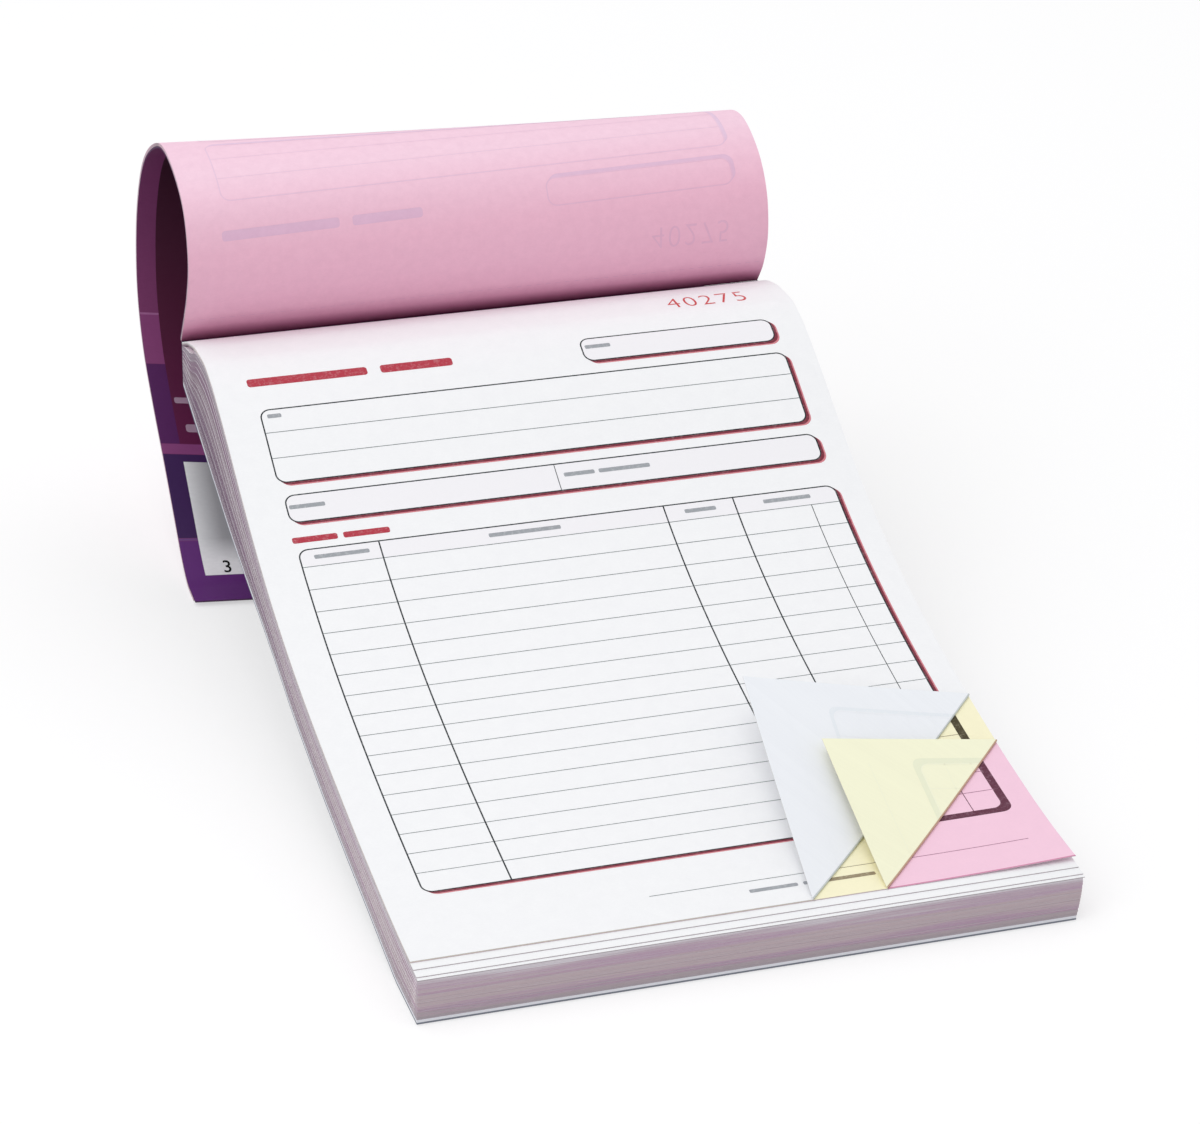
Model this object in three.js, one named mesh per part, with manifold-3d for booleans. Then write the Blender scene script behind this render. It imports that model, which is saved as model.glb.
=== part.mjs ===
// A top-bound order book of three-part sets, open at a fresh set: the card cover and the used leaves are
// turned over the bound edge and curl down behind it, which lifts the bound end of the pad.
// Millimetres, +Z up, +X to the right of the page, +Y from the page's foot to the bound edge.
import * as THREE from "three";
import Module from "manifold-3d";

const wasm = await Module();
wasm.setup();

// Sizes of the book
const WIDTH = 141.3;
const HALF_WIDTH = WIDTH / 2;
const FLAT_STRIP = 14; // the part of the board that lies flat on the table
const BOUND_END = 202.8; // where the pad's bound end stands
const STUB = 12.3; // what stays in the binding when a leaf is torn off
const TEAR_LINE = BOUND_END - STUB; // also where the loose leaves turn
const TEAR_GAP = 0.1; // on each side of the tear line
const BOARD = 1.0;
const LEAF = 0.1;
const SET = 0.2; // a fresh set of three leaves, pressed
const LAYER_GAP = 0.03;
const TAPE = 0.3;
const TAPE_LEG = 15; // how far the binding strip reaches under the board
const COVER = 0.4;
const USED_LEAF = 0.12;
const ROLL_GAP = 0.08; // between the turned-back leaves

// Height of the pad along Y: its underside and the top leaf's upper face
const UNDERSIDE = [
  [0, 0], [FLAT_STRIP, 0], [22, 1.0], [34.5, 3.0], [47.2, 4.9], [59.4, 6.8], [72.8, 9.2], [85.6, 12.0],
  [99.6, 15.3], [112, 19.0], [125.7, 22.8], [141, 26.6], [159, 31.8], [174, 37.0], [187.7, 41.8], [BOUND_END, 47.2],
];
const PAGE = [
  [0, 9.8], [7, 9.95], [17, 10.6], [27, 11.6], [37, 12.9], [47, 14.3], [57, 15.9], [66.4, 17.6], [76.2, 19.6],
  [86, 21.8], [95.6, 24.3], [105.2, 27.2], [114.6, 30.5], [123.9, 34.3], [132.9, 38.6], [141.7, 43.3],
  [150.4, 48.3], [159, 53.4], [166.5, 57.5], [173.5, 60.8], [181, 62.7], [187.4, 62.6], [196, 61.0], [BOUND_END, 58.2],
];

// The pad's own pieces, from the front ends that step back to the pack beneath them
const TOP_SET_FRONT = 7.0;
const STEPPED_SETS = [
  ["set_02", 4.7],
  ["set_03", 2.4],
  ["set_04", 1.5],
];
const FOOT_STEP = 1.5; // how far the uppermost pack's front end stands back from the board's
const FOOT_STEP_CURVE = 2.2; // the packs step back more and more towards the top
const PACKS = [
  "sets_45_to_50", "sets_40_to_44", "sets_35_to_39", "sets_30_to_34", "sets_25_to_29",
  "sets_20_to_24", "sets_15_to_19", "sets_10_to_14", "sets_05_to_09",
];
const TOP_SET_LEAVES = ["white_leaf", "yellow_leaf", "pink_leaf"];
const UPPER_BULGE = 1.3; // the hollow under the loose sets where they come off the binding
const LOWER_BULGE = 0.8;
const BULGE_CENTRE = 194.5;
const BULGE_REACH = 8.0;
// The pad's right side stands in towards the foot, its packs more and its board most
const SET_TRIM = 0.3;
const PACK_TRIM = 0.7;
const FOOT_LEAN = 1.5;
const FOOT_REACH = 60;
// Its left side stands in there too, its upper pieces more than its board
const LEFT_TRIM = 0.45;
const LEFT_LEAN = 0.6;
const LEFT_REACH = 140;

// Folded corners of the top set: where each fold meets the foot and the right edge
const FOLDS = {
  white_leaf: { foot: 13.4, side: 65.0, rise: 14.3, lean: 8.9 },
  yellow_leaf: { foot: 29.3, side: 49.3, rise: 14.8, lean: 1.4 },
};
const FOLD_HEIGHT = 0.45; // the fold's loose bend
const FOLD_BULGE = 0.25;
const FOLD_ROOT = 0.6;
const FOLD_TIP = 0.4;

// The roll of cover and used leaves: the outline of its outer face at the left edge and at the right edge,
// by distance behind the bound end and height
const ROLL_LEFT = [
  [0.6, 58.4], [-7.4, 71.9], [-10.3, 82.5], [-6.8, 93.5], [3.7, 99.6], [16.2, 100.8], [29.7, 95], [39.2, 86.5],
  [45.7, 74], [48, 61], [46.7, 49.5], [40.7, 38.5], [30.2, 29], [18.7, 20.5], [7.7, 12.0], [-2.3, 4.3],
  [-9.3, 0.6], [-14.8, 0], [-19.8, 0],
];
const ROLL_RIGHT = [
  [0.6, 58.4], [-3.2, 64.5], [-5.2, 73], [-3.2, 82.5], [3.2, 90], [13.7, 94.6], [23.2, 93.6], [32.2, 88.2],
  [39, 79.5], [42.2, 69], [42.7, 58], [39.7, 47], [32.7, 36.5], [23.2, 27], [12.7, 17.5], [2.7, 8.8],
  [-6.3, 2.2], [-14.8, 0], [-27.8, 0], [-42.8, 0],
];
const ROLL_STEPS = 44;
const ROLL_COLUMNS = 4;
const TAIL_DRIFT = 2.8; // the tail lies this much further left than the pad
const USED_LEAVES = ["used_leaf_1", "used_leaf_2", "used_leaf_3", "used_leaf_4"];

// The origin is the middle of the flat strip, on the table
const ORIGIN_Y = FLAT_STRIP / 2;

const COLOURS = {
  white: 0xf2f4f7, yellow: 0xfcf0b0, pink: 0xf7cfe0, sets: 0xd9cfd8, board: 0xb9bcc4, tape: 0x2b2440, cover: 0x55255e,
};
const paper = (name) =>
  new THREE.MeshStandardMaterial({ color: COLOURS[name], roughness: name === "cover" ? 0.4 : 0.85, metalness: 0 });

const book = new THREE.Group();
book.name = "receipt_book";

function add(name, colour, geometry) {
  const placed = geometry.clone().translate(0, -ORIGIN_Y, 0);
  placed.computeVertexNormals();
  const mesh = new THREE.Mesh(placed, paper(colour));
  mesh.name = name;
  book.add(mesh);
}

// A closed slab between two grids of points of the same size. Seen from outside the slab on the first grid's
// side, the rows follow each other upwards and each row's points run from left to right.
function slab(front, back) {
  const rows = front.length;
  const columns = front[0].length;
  const points = [...front.flat(), ...back.flat()];
  const at = (side, i, j) => (side * rows + i) * columns + j;
  const index = [];
  const quad = (a, b, c, d) => index.push(a, b, c, a, c, d);
  for (let i = 0; i < rows - 1; i++) {
    for (let j = 0; j < columns - 1; j++) {
      quad(at(0, i, j), at(0, i, j + 1), at(0, i + 1, j + 1), at(0, i + 1, j));
      index.push(at(1, i, j), at(1, i + 1, j + 1), at(1, i, j + 1));
      index.push(at(1, i, j), at(1, i + 1, j), at(1, i + 1, j + 1));
    }
    const last = columns - 1;
    quad(at(0, i, 0), at(0, i + 1, 0), at(1, i + 1, 0), at(1, i, 0));
    quad(at(0, i, last), at(1, i, last), at(1, i + 1, last), at(0, i + 1, last));
  }
  for (let j = 0; j < columns - 1; j++) {
    const last = rows - 1;
    quad(at(0, 0, j), at(1, 0, j), at(1, 0, j + 1), at(0, 0, j + 1));
    quad(at(0, last, j), at(0, last, j + 1), at(1, last, j + 1), at(1, last, j));
  }
  return new THREE.BufferGeometry().setFromPoints(points).setIndex(index);
}

function solid(geometry) {
  const mesh = new wasm.Mesh({
    numProp: 3,
    vertProperties: new Float32Array(geometry.attributes.position.array),
    triVerts: new Uint32Array(geometry.index.array),
  });
  return new wasm.Manifold(mesh);
}

function joined(first, second) {
  const mesh = wasm.Manifold.union(solid(first), solid(second)).getMesh();
  return new THREE.BufferGeometry()
    .setAttribute("position", new THREE.BufferAttribute(new Float32Array(mesh.vertProperties), 3))
    .setIndex(new THREE.BufferAttribute(new Uint32Array(mesh.triVerts), 1));
}

// Height on an outline that is straight between its points
function heightOn(outline, y) {
  const k = Math.max(1, outline.findIndex((p, i) => i > 0 && y <= p[0]));
  const [y0, z0] = outline[k - 1];
  const [y1, z1] = outline[k];
  return z0 + ((z1 - z0) * (y - y0)) / (y1 - y0);
}

// Every layer of the pad bends at the same lines across it, so that layers never cut into each other. They
// are the two outlines' own points, and the side and the middle of each folded corner.
const foldLines = Object.values(FOLDS).flatMap(({ side }) => [side, (TOP_SET_FRONT + side) / 2]);
const outlineLines = [...UNDERSIDE, ...PAGE].map(([y]) => y);
const BEND_LINES = [...new Set([...outlineLines, ...foldLines])].sort((a, b) => a - b);

const bulge = (y, height) => {
  const far = Math.min(1, Math.abs(y - BULGE_CENTRE) / BULGE_REACH);
  return height * Math.cos((far * Math.PI) / 2) ** 2;
};

const linesBetween = (from, to) => [from, ...BEND_LINES.filter((y) => y > from + 0.5 && y < to - 0.5), to];

// The sides of the pad's pieces at a share of its height, from 0 at the board to 1 at the page
const leftEdge = (share) => (y) =>
  (LEFT_TRIM + LEFT_LEAN * share) * Math.min(1, (BOUND_END - y) / LEFT_REACH) - HALF_WIDTH;
const trimmedEdge = (trim, share) => (y) =>
  HALF_WIDTH - (trim + FOOT_LEAN * (1 - share)) * Math.max(0, 1 - y / FOOT_REACH);
const fullEdge = () => HALF_WIDTH;

// A layer of the pad between two height functions
function layer(from, to, upper, lower, share, rightEdge = fullEdge) {
  const lines = linesBetween(from, to);
  const row = (height) => (y) =>
    [leftEdge(share)(y), rightEdge(y)].map((x) => new THREE.Vector3(x, y, height(y)));
  return slab(lines.map(row(upper)), lines.map(row(lower)));
}

const underside = (y) => heightOn(UNDERSIDE, y);
const page = (y) => heightOn(PAGE, y);

// Heights below the page of the loose leaves and sets, counted from the top down
const layerTops = [];
let depth = 0;
for (const thickness of [LEAF, LEAF, LEAF, SET, SET, SET]) {
  layerTops.push(depth);
  depth += thickness + LAYER_GAP;
}
const LOOSE_DEPTH = depth;
const leafTop = (k) => (y) => page(y) - layerTops[k];
const below = (height, thickness) => (y) => height(y) - thickness;

const boardEdge = trimmedEdge(PACK_TRIM, 0);
add("backing_board", "board", layer(0, BOUND_END, (y) => underside(y) + BOARD, underside, 0, boardEdge));

// Packs of fresh sets share the height between the board and the loose sets, and spread towards the hump
const packFloor = (y) => underside(y) + BOARD + LAYER_GAP;
const packRoof = (y) => page(y) - LOOSE_DEPTH - bulge(y, UPPER_BULGE);
PACKS.forEach((name, k) => {
  const level = (share) => (y) => {
    const sunk = share < 1 ? bulge(y, LOWER_BULGE) : 0;
    return packFloor(y) + (packRoof(y) - sunk - packFloor(y)) * share;
  };
  const isTop = k === PACKS.length - 1;
  const upper = isTop ? packRoof : below(level((k + 1) / PACKS.length), LAYER_GAP);
  const lower = (y) => level(k / PACKS.length)(y) + (isTop ? bulge(y, LOWER_BULGE) : 0);
  const front = FOOT_STEP * (k / (PACKS.length - 1)) ** FOOT_STEP_CURVE;
  const share = (k + 1) / PACKS.length;
  add(name, "sets", layer(front, BOUND_END, upper, lower, share, trimmedEdge(PACK_TRIM, share)));
});

// Stubs of the loose sets stay in the binding behind the tear line
const stubFrom = TEAR_LINE + TEAR_GAP;
add("loose_set_stubs", "white", layer(stubFrom, BOUND_END, page, below(page, LOOSE_DEPTH - LAYER_GAP), 1));

// Loose sets and the top set's leaves, each ending a little behind the one beneath it
const leafEnd = TEAR_LINE - TEAR_GAP;
STEPPED_SETS.forEach(([name, front], k) => {
  const top = leafTop(TOP_SET_LEAVES.length + k);
  add(name, "sets", layer(front, leafEnd, top, below(top, SET), 1, trimmedEdge(SET_TRIM, 1)));
});

// A corner folded up along a straight line and laid back over the leaf
function foldedLeaf(top, { foot, side, rise, lean }) {
  const slope = (HALF_WIDTH - foot) / (side - TOP_SET_FRONT);
  const edge = (y) => (y < side ? foot + slope * (y - TOP_SET_FRONT) : HALF_WIDTH);
  const leaf = layer(TOP_SET_FRONT, leafEnd, top, below(top, LEAF), 1, edge);

  const lines = linesBetween(TOP_SET_FRONT, side);
  const foldPoint = (y) => new THREE.Vector3(edge(y), y, top(y) - LEAF / 2);
  const along = foldPoint(side).sub(foldPoint(TOP_SET_FRONT)).normalize();
  const up = new THREE.Vector3(0, along.z, -along.y).normalize().negate();
  const inward = new THREE.Vector3().crossVectors(up, along).normalize();
  const normal = new THREE.Vector3().crossVectors(along, inward).normalize();
  const length = foldPoint(side).distanceTo(foldPoint(TOP_SET_FRONT));
  const turn = THREE.MathUtils.degToRad(rise);

  // The bend's own cross-section: distance inward, height and half thickness
  const bend = [
    [FOLD_ROOT, 0, LEAF * 0.3],
    [0, 0, LEAF * 0.3],
    [-FOLD_BULGE, FOLD_HEIGHT / 2, LEAF / 2],
    [0, FOLD_HEIGHT, LEAF / 2],
  ];
  const insides = [[0, 1], [0, 1], [1, 0], [0, -1]];
  const row = (y, face) => {
    const from = foldPoint(y);
    const t = from.distanceTo(foldPoint(TOP_SET_FRONT)) / length;
    const reach = Math.max(FOLD_TIP, length * Math.min(t, 1 - t));
    const share = reach / (length / 2);
    const points = bend.map(([inner, height, half], k) =>
      from.clone()
        .addScaledVector(inward, inner + face * half * insides[k][0])
        .addScaledVector(normal, height + face * half * insides[k][1]),
    );
    for (const part of [0.5, 1]) {
      points.push(
        from.clone()
          .addScaledVector(inward, reach * part * Math.cos(turn))
          .addScaledVector(normal, FOLD_HEIGHT + reach * part * Math.sin(turn) - (face * LEAF) / 2)
          .addScaledVector(along, lean * share * part),
      );
    }
    return points;
  };
  const flap = slab(lines.map((y) => row(y, 1)), lines.map((y) => row(y, -1)));
  return joined(leaf, flap);
}

TOP_SET_LEAVES.forEach((name, k) => {
  const colour = name.split("_")[0];
  const top = leafTop(k);
  const plain = () => layer(TOP_SET_FRONT, leafEnd, top, below(top, LEAF), 1);
  add(name, colour, FOLDS[name] ? foldedLeaf(top, FOLDS[name]) : plain());
});

// The binding strip runs up the bound end and a little way under the board
function bindingTape() {
  const legEnd = BOUND_END - TAPE_LEG;
  const inner = BOUND_END + LAYER_GAP;
  const outer = inner + TAPE;
  const legLines = linesBetween(legEnd, BOUND_END);
  const legRow = (drop) => legLines.map((y) => [y, underside(y) - LAYER_GAP - drop]);
  const outline = [
    ...legRow(TAPE),
    [outer, underside(BOUND_END) - TAPE],
    [outer, page(BOUND_END)],
    [inner, page(BOUND_END)],
    [inner, underside(BOUND_END) - LAYER_GAP],
    ...legRow(0).reverse().slice(1),
  ];
  const shape = new THREE.Shape(outline.map(([y, z]) => new THREE.Vector2(y, z)));
  const geometry = new THREE.ExtrudeGeometry(shape, { depth: WIDTH, bevelEnabled: false });
  const toYZ = new THREE.Matrix4().makeBasis(
    new THREE.Vector3(0, 1, 0), new THREE.Vector3(0, 0, 1), new THREE.Vector3(1, 0, 0),
  );
  return geometry.applyMatrix4(toYZ).translate(-HALF_WIDTH, 0, 0);
}
add("binding_tape", "tape", bindingTape());

// The roll: both edge outlines are walked in equal steps and joined by straight lines across
const smooth = (outline) =>
  new THREE.SplineCurve(outline.map(([behind, z]) => new THREE.Vector2(BOUND_END + behind, z)));
const rollEdges = [ROLL_LEFT, ROLL_RIGHT].map((outline) => {
  const curve = smooth(outline);
  const points = curve.getSpacedPoints(ROLL_STEPS);
  const inwards = points.map((_, i) => {
    const t = curve.getTangentAt(i / ROLL_STEPS);
    return new THREE.Vector2(t.y, -t.x);
  });
  return { points, inwards };
});

function rollFace(inset) {
  const rows = [];
  for (let i = 0; i <= ROLL_STEPS; i++) {
    const [left, right] = rollEdges.map(({ points, inwards }) => {
      const p = points[i].clone().addScaledVector(inwards[i], inset);
      return new THREE.Vector2(p.x, Math.max(p.y, inset));
    });
    const drift = TAIL_DRIFT * (i / ROLL_STEPS) ** 2;
    const row = [];
    for (let j = 0; j <= ROLL_COLUMNS; j++) {
      const t = j / ROLL_COLUMNS;
      const yz = left.clone().lerp(right, t);
      row.push(new THREE.Vector3((t - 0.5) * WIDTH - drift, yz.x, yz.y));
    }
    rows.push(row);
  }
  return rows;
}

let inset = 0;
USED_LEAVES.forEach((name) => {
  add(name, "pink", slab(rollFace(inset), rollFace(inset + USED_LEAF)));
  inset += USED_LEAF + ROLL_GAP;
});
add("front_cover", "cover", slab(rollFace(inset), rollFace(inset + COVER)));

export default book;
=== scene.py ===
"""Looks of the receipt book: smooth sheets over the CAD frame, printed form and papers. Metres, +Z up."""

import math
from bisect import bisect_right

import bpy
from mathutils import Matrix, Vector


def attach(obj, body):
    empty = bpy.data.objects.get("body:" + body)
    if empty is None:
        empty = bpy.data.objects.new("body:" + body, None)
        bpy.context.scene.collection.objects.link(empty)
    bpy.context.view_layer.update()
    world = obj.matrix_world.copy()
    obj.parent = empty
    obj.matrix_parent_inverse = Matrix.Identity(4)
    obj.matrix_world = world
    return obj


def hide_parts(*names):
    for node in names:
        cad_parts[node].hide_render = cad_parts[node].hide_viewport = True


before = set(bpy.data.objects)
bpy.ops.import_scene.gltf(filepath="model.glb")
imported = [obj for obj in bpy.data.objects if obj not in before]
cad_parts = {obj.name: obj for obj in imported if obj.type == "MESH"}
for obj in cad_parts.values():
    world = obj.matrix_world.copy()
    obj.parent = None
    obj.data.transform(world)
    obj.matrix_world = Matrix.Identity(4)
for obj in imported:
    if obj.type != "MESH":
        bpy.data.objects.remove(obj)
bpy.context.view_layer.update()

# Sizes of the book, as in the CAD model
WIDTH = 0.1413
HALF_WIDTH = WIDTH / 2
FLAT_STRIP = 0.014
BOUND_END = 0.2028
STUB = 0.0123
TEAR_LINE = BOUND_END - STUB
TEAR_GAP = 0.00001  # on each side of the tear line
BOARD = 0.001
LEAF = 0.0001
SET = 0.0002
LAYER_GAP = 0.00003
TAPE = 0.0003
TAPE_LEG = 0.015
COVER = 0.0004
USED_LEAF = 0.00012
ROLL_GAP = 0.00008
TOP_SET_FRONT = 0.007
STEPPED_SETS = {"set_02": 0.0047, "set_03": 0.0024, "set_04": 0.0015}
PACKS = {
    "sets_45_to_50": 6, "sets_40_to_44": 5, "sets_35_to_39": 5, "sets_30_to_34": 5, "sets_25_to_29": 5,
    "sets_20_to_24": 5, "sets_15_to_19": 5, "sets_10_to_14": 5, "sets_05_to_09": 5,
}
SET_SPREAD = 0.00006  # how far a set stands in or out of its pack
SET_OPENING = 0.06  # share of a set's height that stays open above it
FOOT_STEP = 0.0015
FOOT_STEP_CURVE = 2.2
UPPER_BULGE = 0.0013
LOWER_BULGE = 0.0008
BULGE_CENTRE = 0.1945
BULGE_REACH = 0.008
SET_TRIM = 0.0003
PACK_TRIM = 0.0007
FOOT_LEAN = 0.0015
FOOT_REACH = 0.060
LEFT_TRIM = 0.00045
LEFT_LEAN = 0.0006
LEFT_REACH = 0.140
CORNER_CURL = 0.0010  # how far the pink leaf's corner stands up
FOLDS = {
    "white_leaf": {"foot": 0.0134, "side": 0.0650, "rise": 14.3, "lean": 0.0089},
    "yellow_leaf": {"foot": 0.0293, "side": 0.0493, "rise": 14.8, "lean": 0.0014},
}
FOLD_HEIGHT = 0.00045
FOLD_BULGE = 0.00025

UNDERSIDE = [
    (0, 0), (FLAT_STRIP, 0), (0.022, 0.001), (0.0345, 0.003), (0.0472, 0.0049), (0.0594, 0.0068),
    (0.0728, 0.0092), (0.0856, 0.012), (0.0996, 0.0153), (0.112, 0.019), (0.1257, 0.0228), (0.141, 0.0266),
    (0.159, 0.0318), (0.174, 0.037), (0.1877, 0.0418), (BOUND_END, 0.0472),
]
PAGE = [
    (0, 0.0098), (0.007, 0.00995), (0.017, 0.0106), (0.027, 0.0116), (0.037, 0.0129), (0.047, 0.0143),
    (0.057, 0.0159), (0.0664, 0.0176), (0.0762, 0.0196), (0.086, 0.0218), (0.0956, 0.0243),
    (0.1052, 0.0272), (0.1146, 0.0305), (0.1239, 0.0343), (0.1329, 0.0386), (0.1417, 0.0433),
    (0.1504, 0.0483), (0.159, 0.0534), (0.1665, 0.0575), (0.1735, 0.0608), (0.181, 0.0627),
    (0.1874, 0.0626), (0.196, 0.061), (BOUND_END, 0.0582),
]
ROLL_LEFT = [  # behind the bound end, and height
    (0.0006, 0.0584), (-0.0074, 0.0719), (-0.0103, 0.0825), (-0.0068, 0.0935), (0.0037, 0.0996),
    (0.0162, 0.1008), (0.0297, 0.095), (0.0392, 0.0865), (0.0457, 0.074), (0.048, 0.061),
    (0.0467, 0.0495), (0.0407, 0.0385), (0.0302, 0.029), (0.0187, 0.0205), (0.0077, 0.012),
    (-0.0023, 0.0043), (-0.0093, 0.0006), (-0.0148, 0), (-0.0198, 0),
]
ROLL_RIGHT = [
    (0.0006, 0.0584), (-0.0032, 0.0645), (-0.0052, 0.073), (-0.0032, 0.0825), (0.0032, 0.09),
    (0.0137, 0.0946), (0.0232, 0.0936), (0.0322, 0.0882), (0.039, 0.0795), (0.0422, 0.069),
    (0.0427, 0.058), (0.0397, 0.047), (0.0327, 0.0365), (0.0232, 0.027), (0.0127, 0.0175),
    (0.0027, 0.0088), (-0.0063, 0.0022), (-0.0148, 0), (-0.0278, 0), (-0.0428, 0),
]
TAIL_DRIFT = 0.0028
USED_LEAVES = ["used_leaf_1", "used_leaf_2", "used_leaf_3", "used_leaf_4"]
LEAF_SHORT = 0.0025  # the used leaves end this much before the cover

# How finely the smooth pieces are drawn
SHEET_STEP = 0.001
PACK_ROWS = 180
TAPE_ROWS = 12
ROLL_STEPS = 200
ROLL_COLUMNS = 12
CURVE_SAMPLES = 24
FLAP_ROWS = 49
FLAP_COLUMNS = 8
BEND_STEPS = 7
CORNER_STEPS = 6
DIGIT_STEPS = 4
SHARP_ANGLE = math.radians(35)
INK_CELL = (0.005, 0.001)  # across the sheet and along it
LEAST_INK = 1e-11  # square metres
INK_GAPS = 0.35  # share of the paper that shows in most inks
CREASE_SIDE = 3  # the crease's place among a sheet's materials
INK_LIFT = 0.000017
TINT_LIFT = 0.000009

# The printed form, flat: x from the middle of the leaf, s from its foot
FORM_LEFT = -0.0613
FORM_RIGHT = 0.0639
CORNER = 0.0024
OUTLINE = 0.00033
ROW_LINE = 0.00018
TABLE_FOOT = 0.0208
ROW_PITCH = 0.0064
ROWS = 16
HEADER = 0.0049
COLUMNS = [-0.0429, 0.0229, 0.0394]
CENTS_COLUMN = 0.0569
ADDRESS_BOX = (-0.0616, 0.0634, 0.1463, 0.1665)
ADDRESS_LINES = [0.1531, 0.1600]
TERMS_BOX = (-0.0611, 0.0638, 0.1354, 0.1430)
TERMS_DIVIDER = 0.0012
DATE_BOX = (0.0159, 0.0627, 0.1699, 0.1770)
SIGN_LINE = (-0.0178, 0.0641, 0.0091)
TITLE_WORDS = [(-0.0625, -0.0347), (-0.0316, -0.0147)]
TITLE_BAND = (0.1732, 0.1756)
SMALL_HEADING_WORDS = [(-0.0617, -0.0515), (-0.0502, -0.0397)]
SMALL_HEADING_BAND = (0.1299, 0.1315)
LABELS = [  # left, right, height of the bar's middle
    (-0.0600, -0.0568, 0.1645), (0.0169, 0.0230, 0.1742), (-0.0604, -0.0523, 0.1397),
    (0.0028, 0.0100, 0.1397), (0.0110, 0.0231, 0.1397), (-0.0579, -0.0455, 0.1257),
    (-0.0183, -0.0017, 0.1257), (0.0274, 0.0348, 0.1257), (0.0461, 0.0574, 0.1257),
    (0.0022, 0.0125, 0.0058), (0.0137, 0.0292, 0.0058),
]
LABEL_HEIGHT = 0.0011
BAR_ROUNDING = 0.3  # share of a bar's height
FOOT_SHADE_LINE = 0.0004  # painted shade along the pink leaf's foot
ROOT = 0.0005
ROLL_PAINTED_LIGHT_REACH = 0.06  # from the roll's crease, in painted shade, to where painted light has turned its pink pale
DASHES_AT = 0.0075  # the torn line of the used leaves, from the roll's crease
DASH = 0.0012
SHADE_SHIFT = Vector((0.0009, -0.0009))
COPY_SHADE_SHIFT = Vector((0.0015, -0.0014))
FRINGE_FROM = 0.64  # share of the shade where its dark part ends
SERIAL = "40275"
SERIAL_LEFT = 0.0411
SERIAL_FOOT = 0.1853
SERIAL_HEIGHT = 0.0056
SERIAL_PITCH = 0.0041
SERIAL_THICKENING = -0.012  # of the digits' own size
DIGIT_WIDTH = 0.85

# The cover's printed face, flat: x from the middle, s from the bound edge
COVER_MARGIN = 0.0662
COVER_CENTRE = (0.004, 0.168)  # start and end of the dark centre
COVER_PAINTED_SHADE_SPAN = (0.02, 0.12)  # where painted shade deep in the loop leaves the margins beside it
COVER_BANDS = [  # start, end and colour of each band across the cover
    (0.1333, 0.1460, (142, 66, 124)), (0.1328, 0.1334, (170, 104, 156)), (0.1460, 0.1680, (88, 28, 96)),
    (0.1680, 0.1708, (142, 68, 128)), (0.1708, 0.1935, (60, 24, 86)), (0.1935, 0.1942, (112, 66, 132)),
    (0.1942, 0.2200, (100, 40, 122)),
]
COVER_BARS = [(-0.0640, 0.0300, 0.0516, 0.0538), (-0.0655, 0.0500, 0.0596, 0.0612)]  # up from the tail
COVER_PANEL = (-0.0662, 0.0662, 0.1728, 0.2045)
PANEL_SHADE = 0.012  # from the panel's left side to where the painted shade from the pad is darkest
PANEL_LIGHT = (0.011, 0.004)  # where painted light turns it white, measured from its far end
PANEL_DIGIT = "3"
PANEL_DIGIT_PLACE = (-0.0618, 0.0126)
PANEL_DIGIT_HEIGHT = 0.0037
PANEL_DIGIT_THICKENING = 0.01

# Where painted shade changes the tones of papers and cut edges, along a sheet
PAD_FOOT_SHADE_REACH = 0.0007  # how far the painted shade at the front of the pad's top reaches up it
FRONT_TO_SIDE = (-0.004, -0.002)  # from the packs' front ends to their sides, where painted shade darkens them
BINDING_SHADE = (0.03, 0.17)  # where painted shade darkens the pad's edges towards the binding
SET_GAP_SHADOW_SPAN = (0.09, 0.185)  # where the painted shadow in the gap under a loose set deepens

# Tones along the roll, up the edges and across the cover, some with painted shade and light: share of the
# way, and colour 0 to 255
# the roll: painted shade deep in its crease, painted light on its top
ROLL_PAINTED_SHADE_AND_LIGHT = [
    (0.0, (124, 58, 90)), (0.04, (182, 114, 146)), (0.08, (222, 160, 188)), (0.15, (242, 187, 210)),
    (0.45, (245, 191, 213)), (0.78, (250, 214, 231)), (1.0, (250, 212, 230)),
]
PAD_EDGE_TONES = [
    (0.0, (186, 176, 182)), (0.14, (194, 182, 186)), (0.27, (198, 168, 192)), (0.38, (208, 192, 196)),
    (0.66, (206, 190, 194)), (0.80, (200, 172, 194)), (0.90, (208, 192, 202)), (0.98, (232, 228, 234)),
]
# a set's edge, darkest at its foot with the painted shadow of the gap under it
SET_EDGE_TONES = [
    (0.0, (136, 124, 134)), (0.30, (168, 156, 164)), (0.55, (184, 180, 174)), (0.80, (224, 224, 228)),
]
# the maroon centre, near black where painted shade falls deep in the loop
COVER_CENTRE_TONES_WITH_SHADE = [(0.0, (20, 2, 13)), (0.50, (46, 2, 28)), (0.80, (80, 9, 52)), (1.0, (98, 15, 70))]
# the panel, darkened by painted shade from the pad
PANEL_PAINTED_SHADE_TONES = [(0.0, (244, 244, 247)), (0.5, (174, 173, 178)), (1.0, (148, 147, 153))]

# Stage, light and camera
FLOOR = 3.0  # from its middle to each side
FLOOR_DROP = 0.0002  # under the part
FLOOR_TO_LIGHT = (0.74, 0.74, 0.745, 1)
FLOOR_TO_CAMERA = (0.5, 0.5, 0.505, 1)
FLOOR_GLOW = 0.53
AMBIENT = 0.73
LAMPS = {  # place, aim, size and power
    "key": ((-0.20, 0.25, 1.30), (0, 0.1, 0.02), 1.3, 4.5),
    "fill": ((-0.75, -0.35, 0.55), (0, 0.08, 0.02), 0.6, 1.4),
}
CAMERA_PLACE = Vector((-0.235165, -0.612106, 0.416779))
CAMERA_RIGHT = Vector((0.95231228, -0.3044864, 0.01973222))
CAMERA_UP = Vector((0.120404, 0.43442232, 0.89262541))
SENSOR_WIDTH = 36  # millimetres, as the lens
LENS = 116.1
CLIP_START = 0.01


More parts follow.
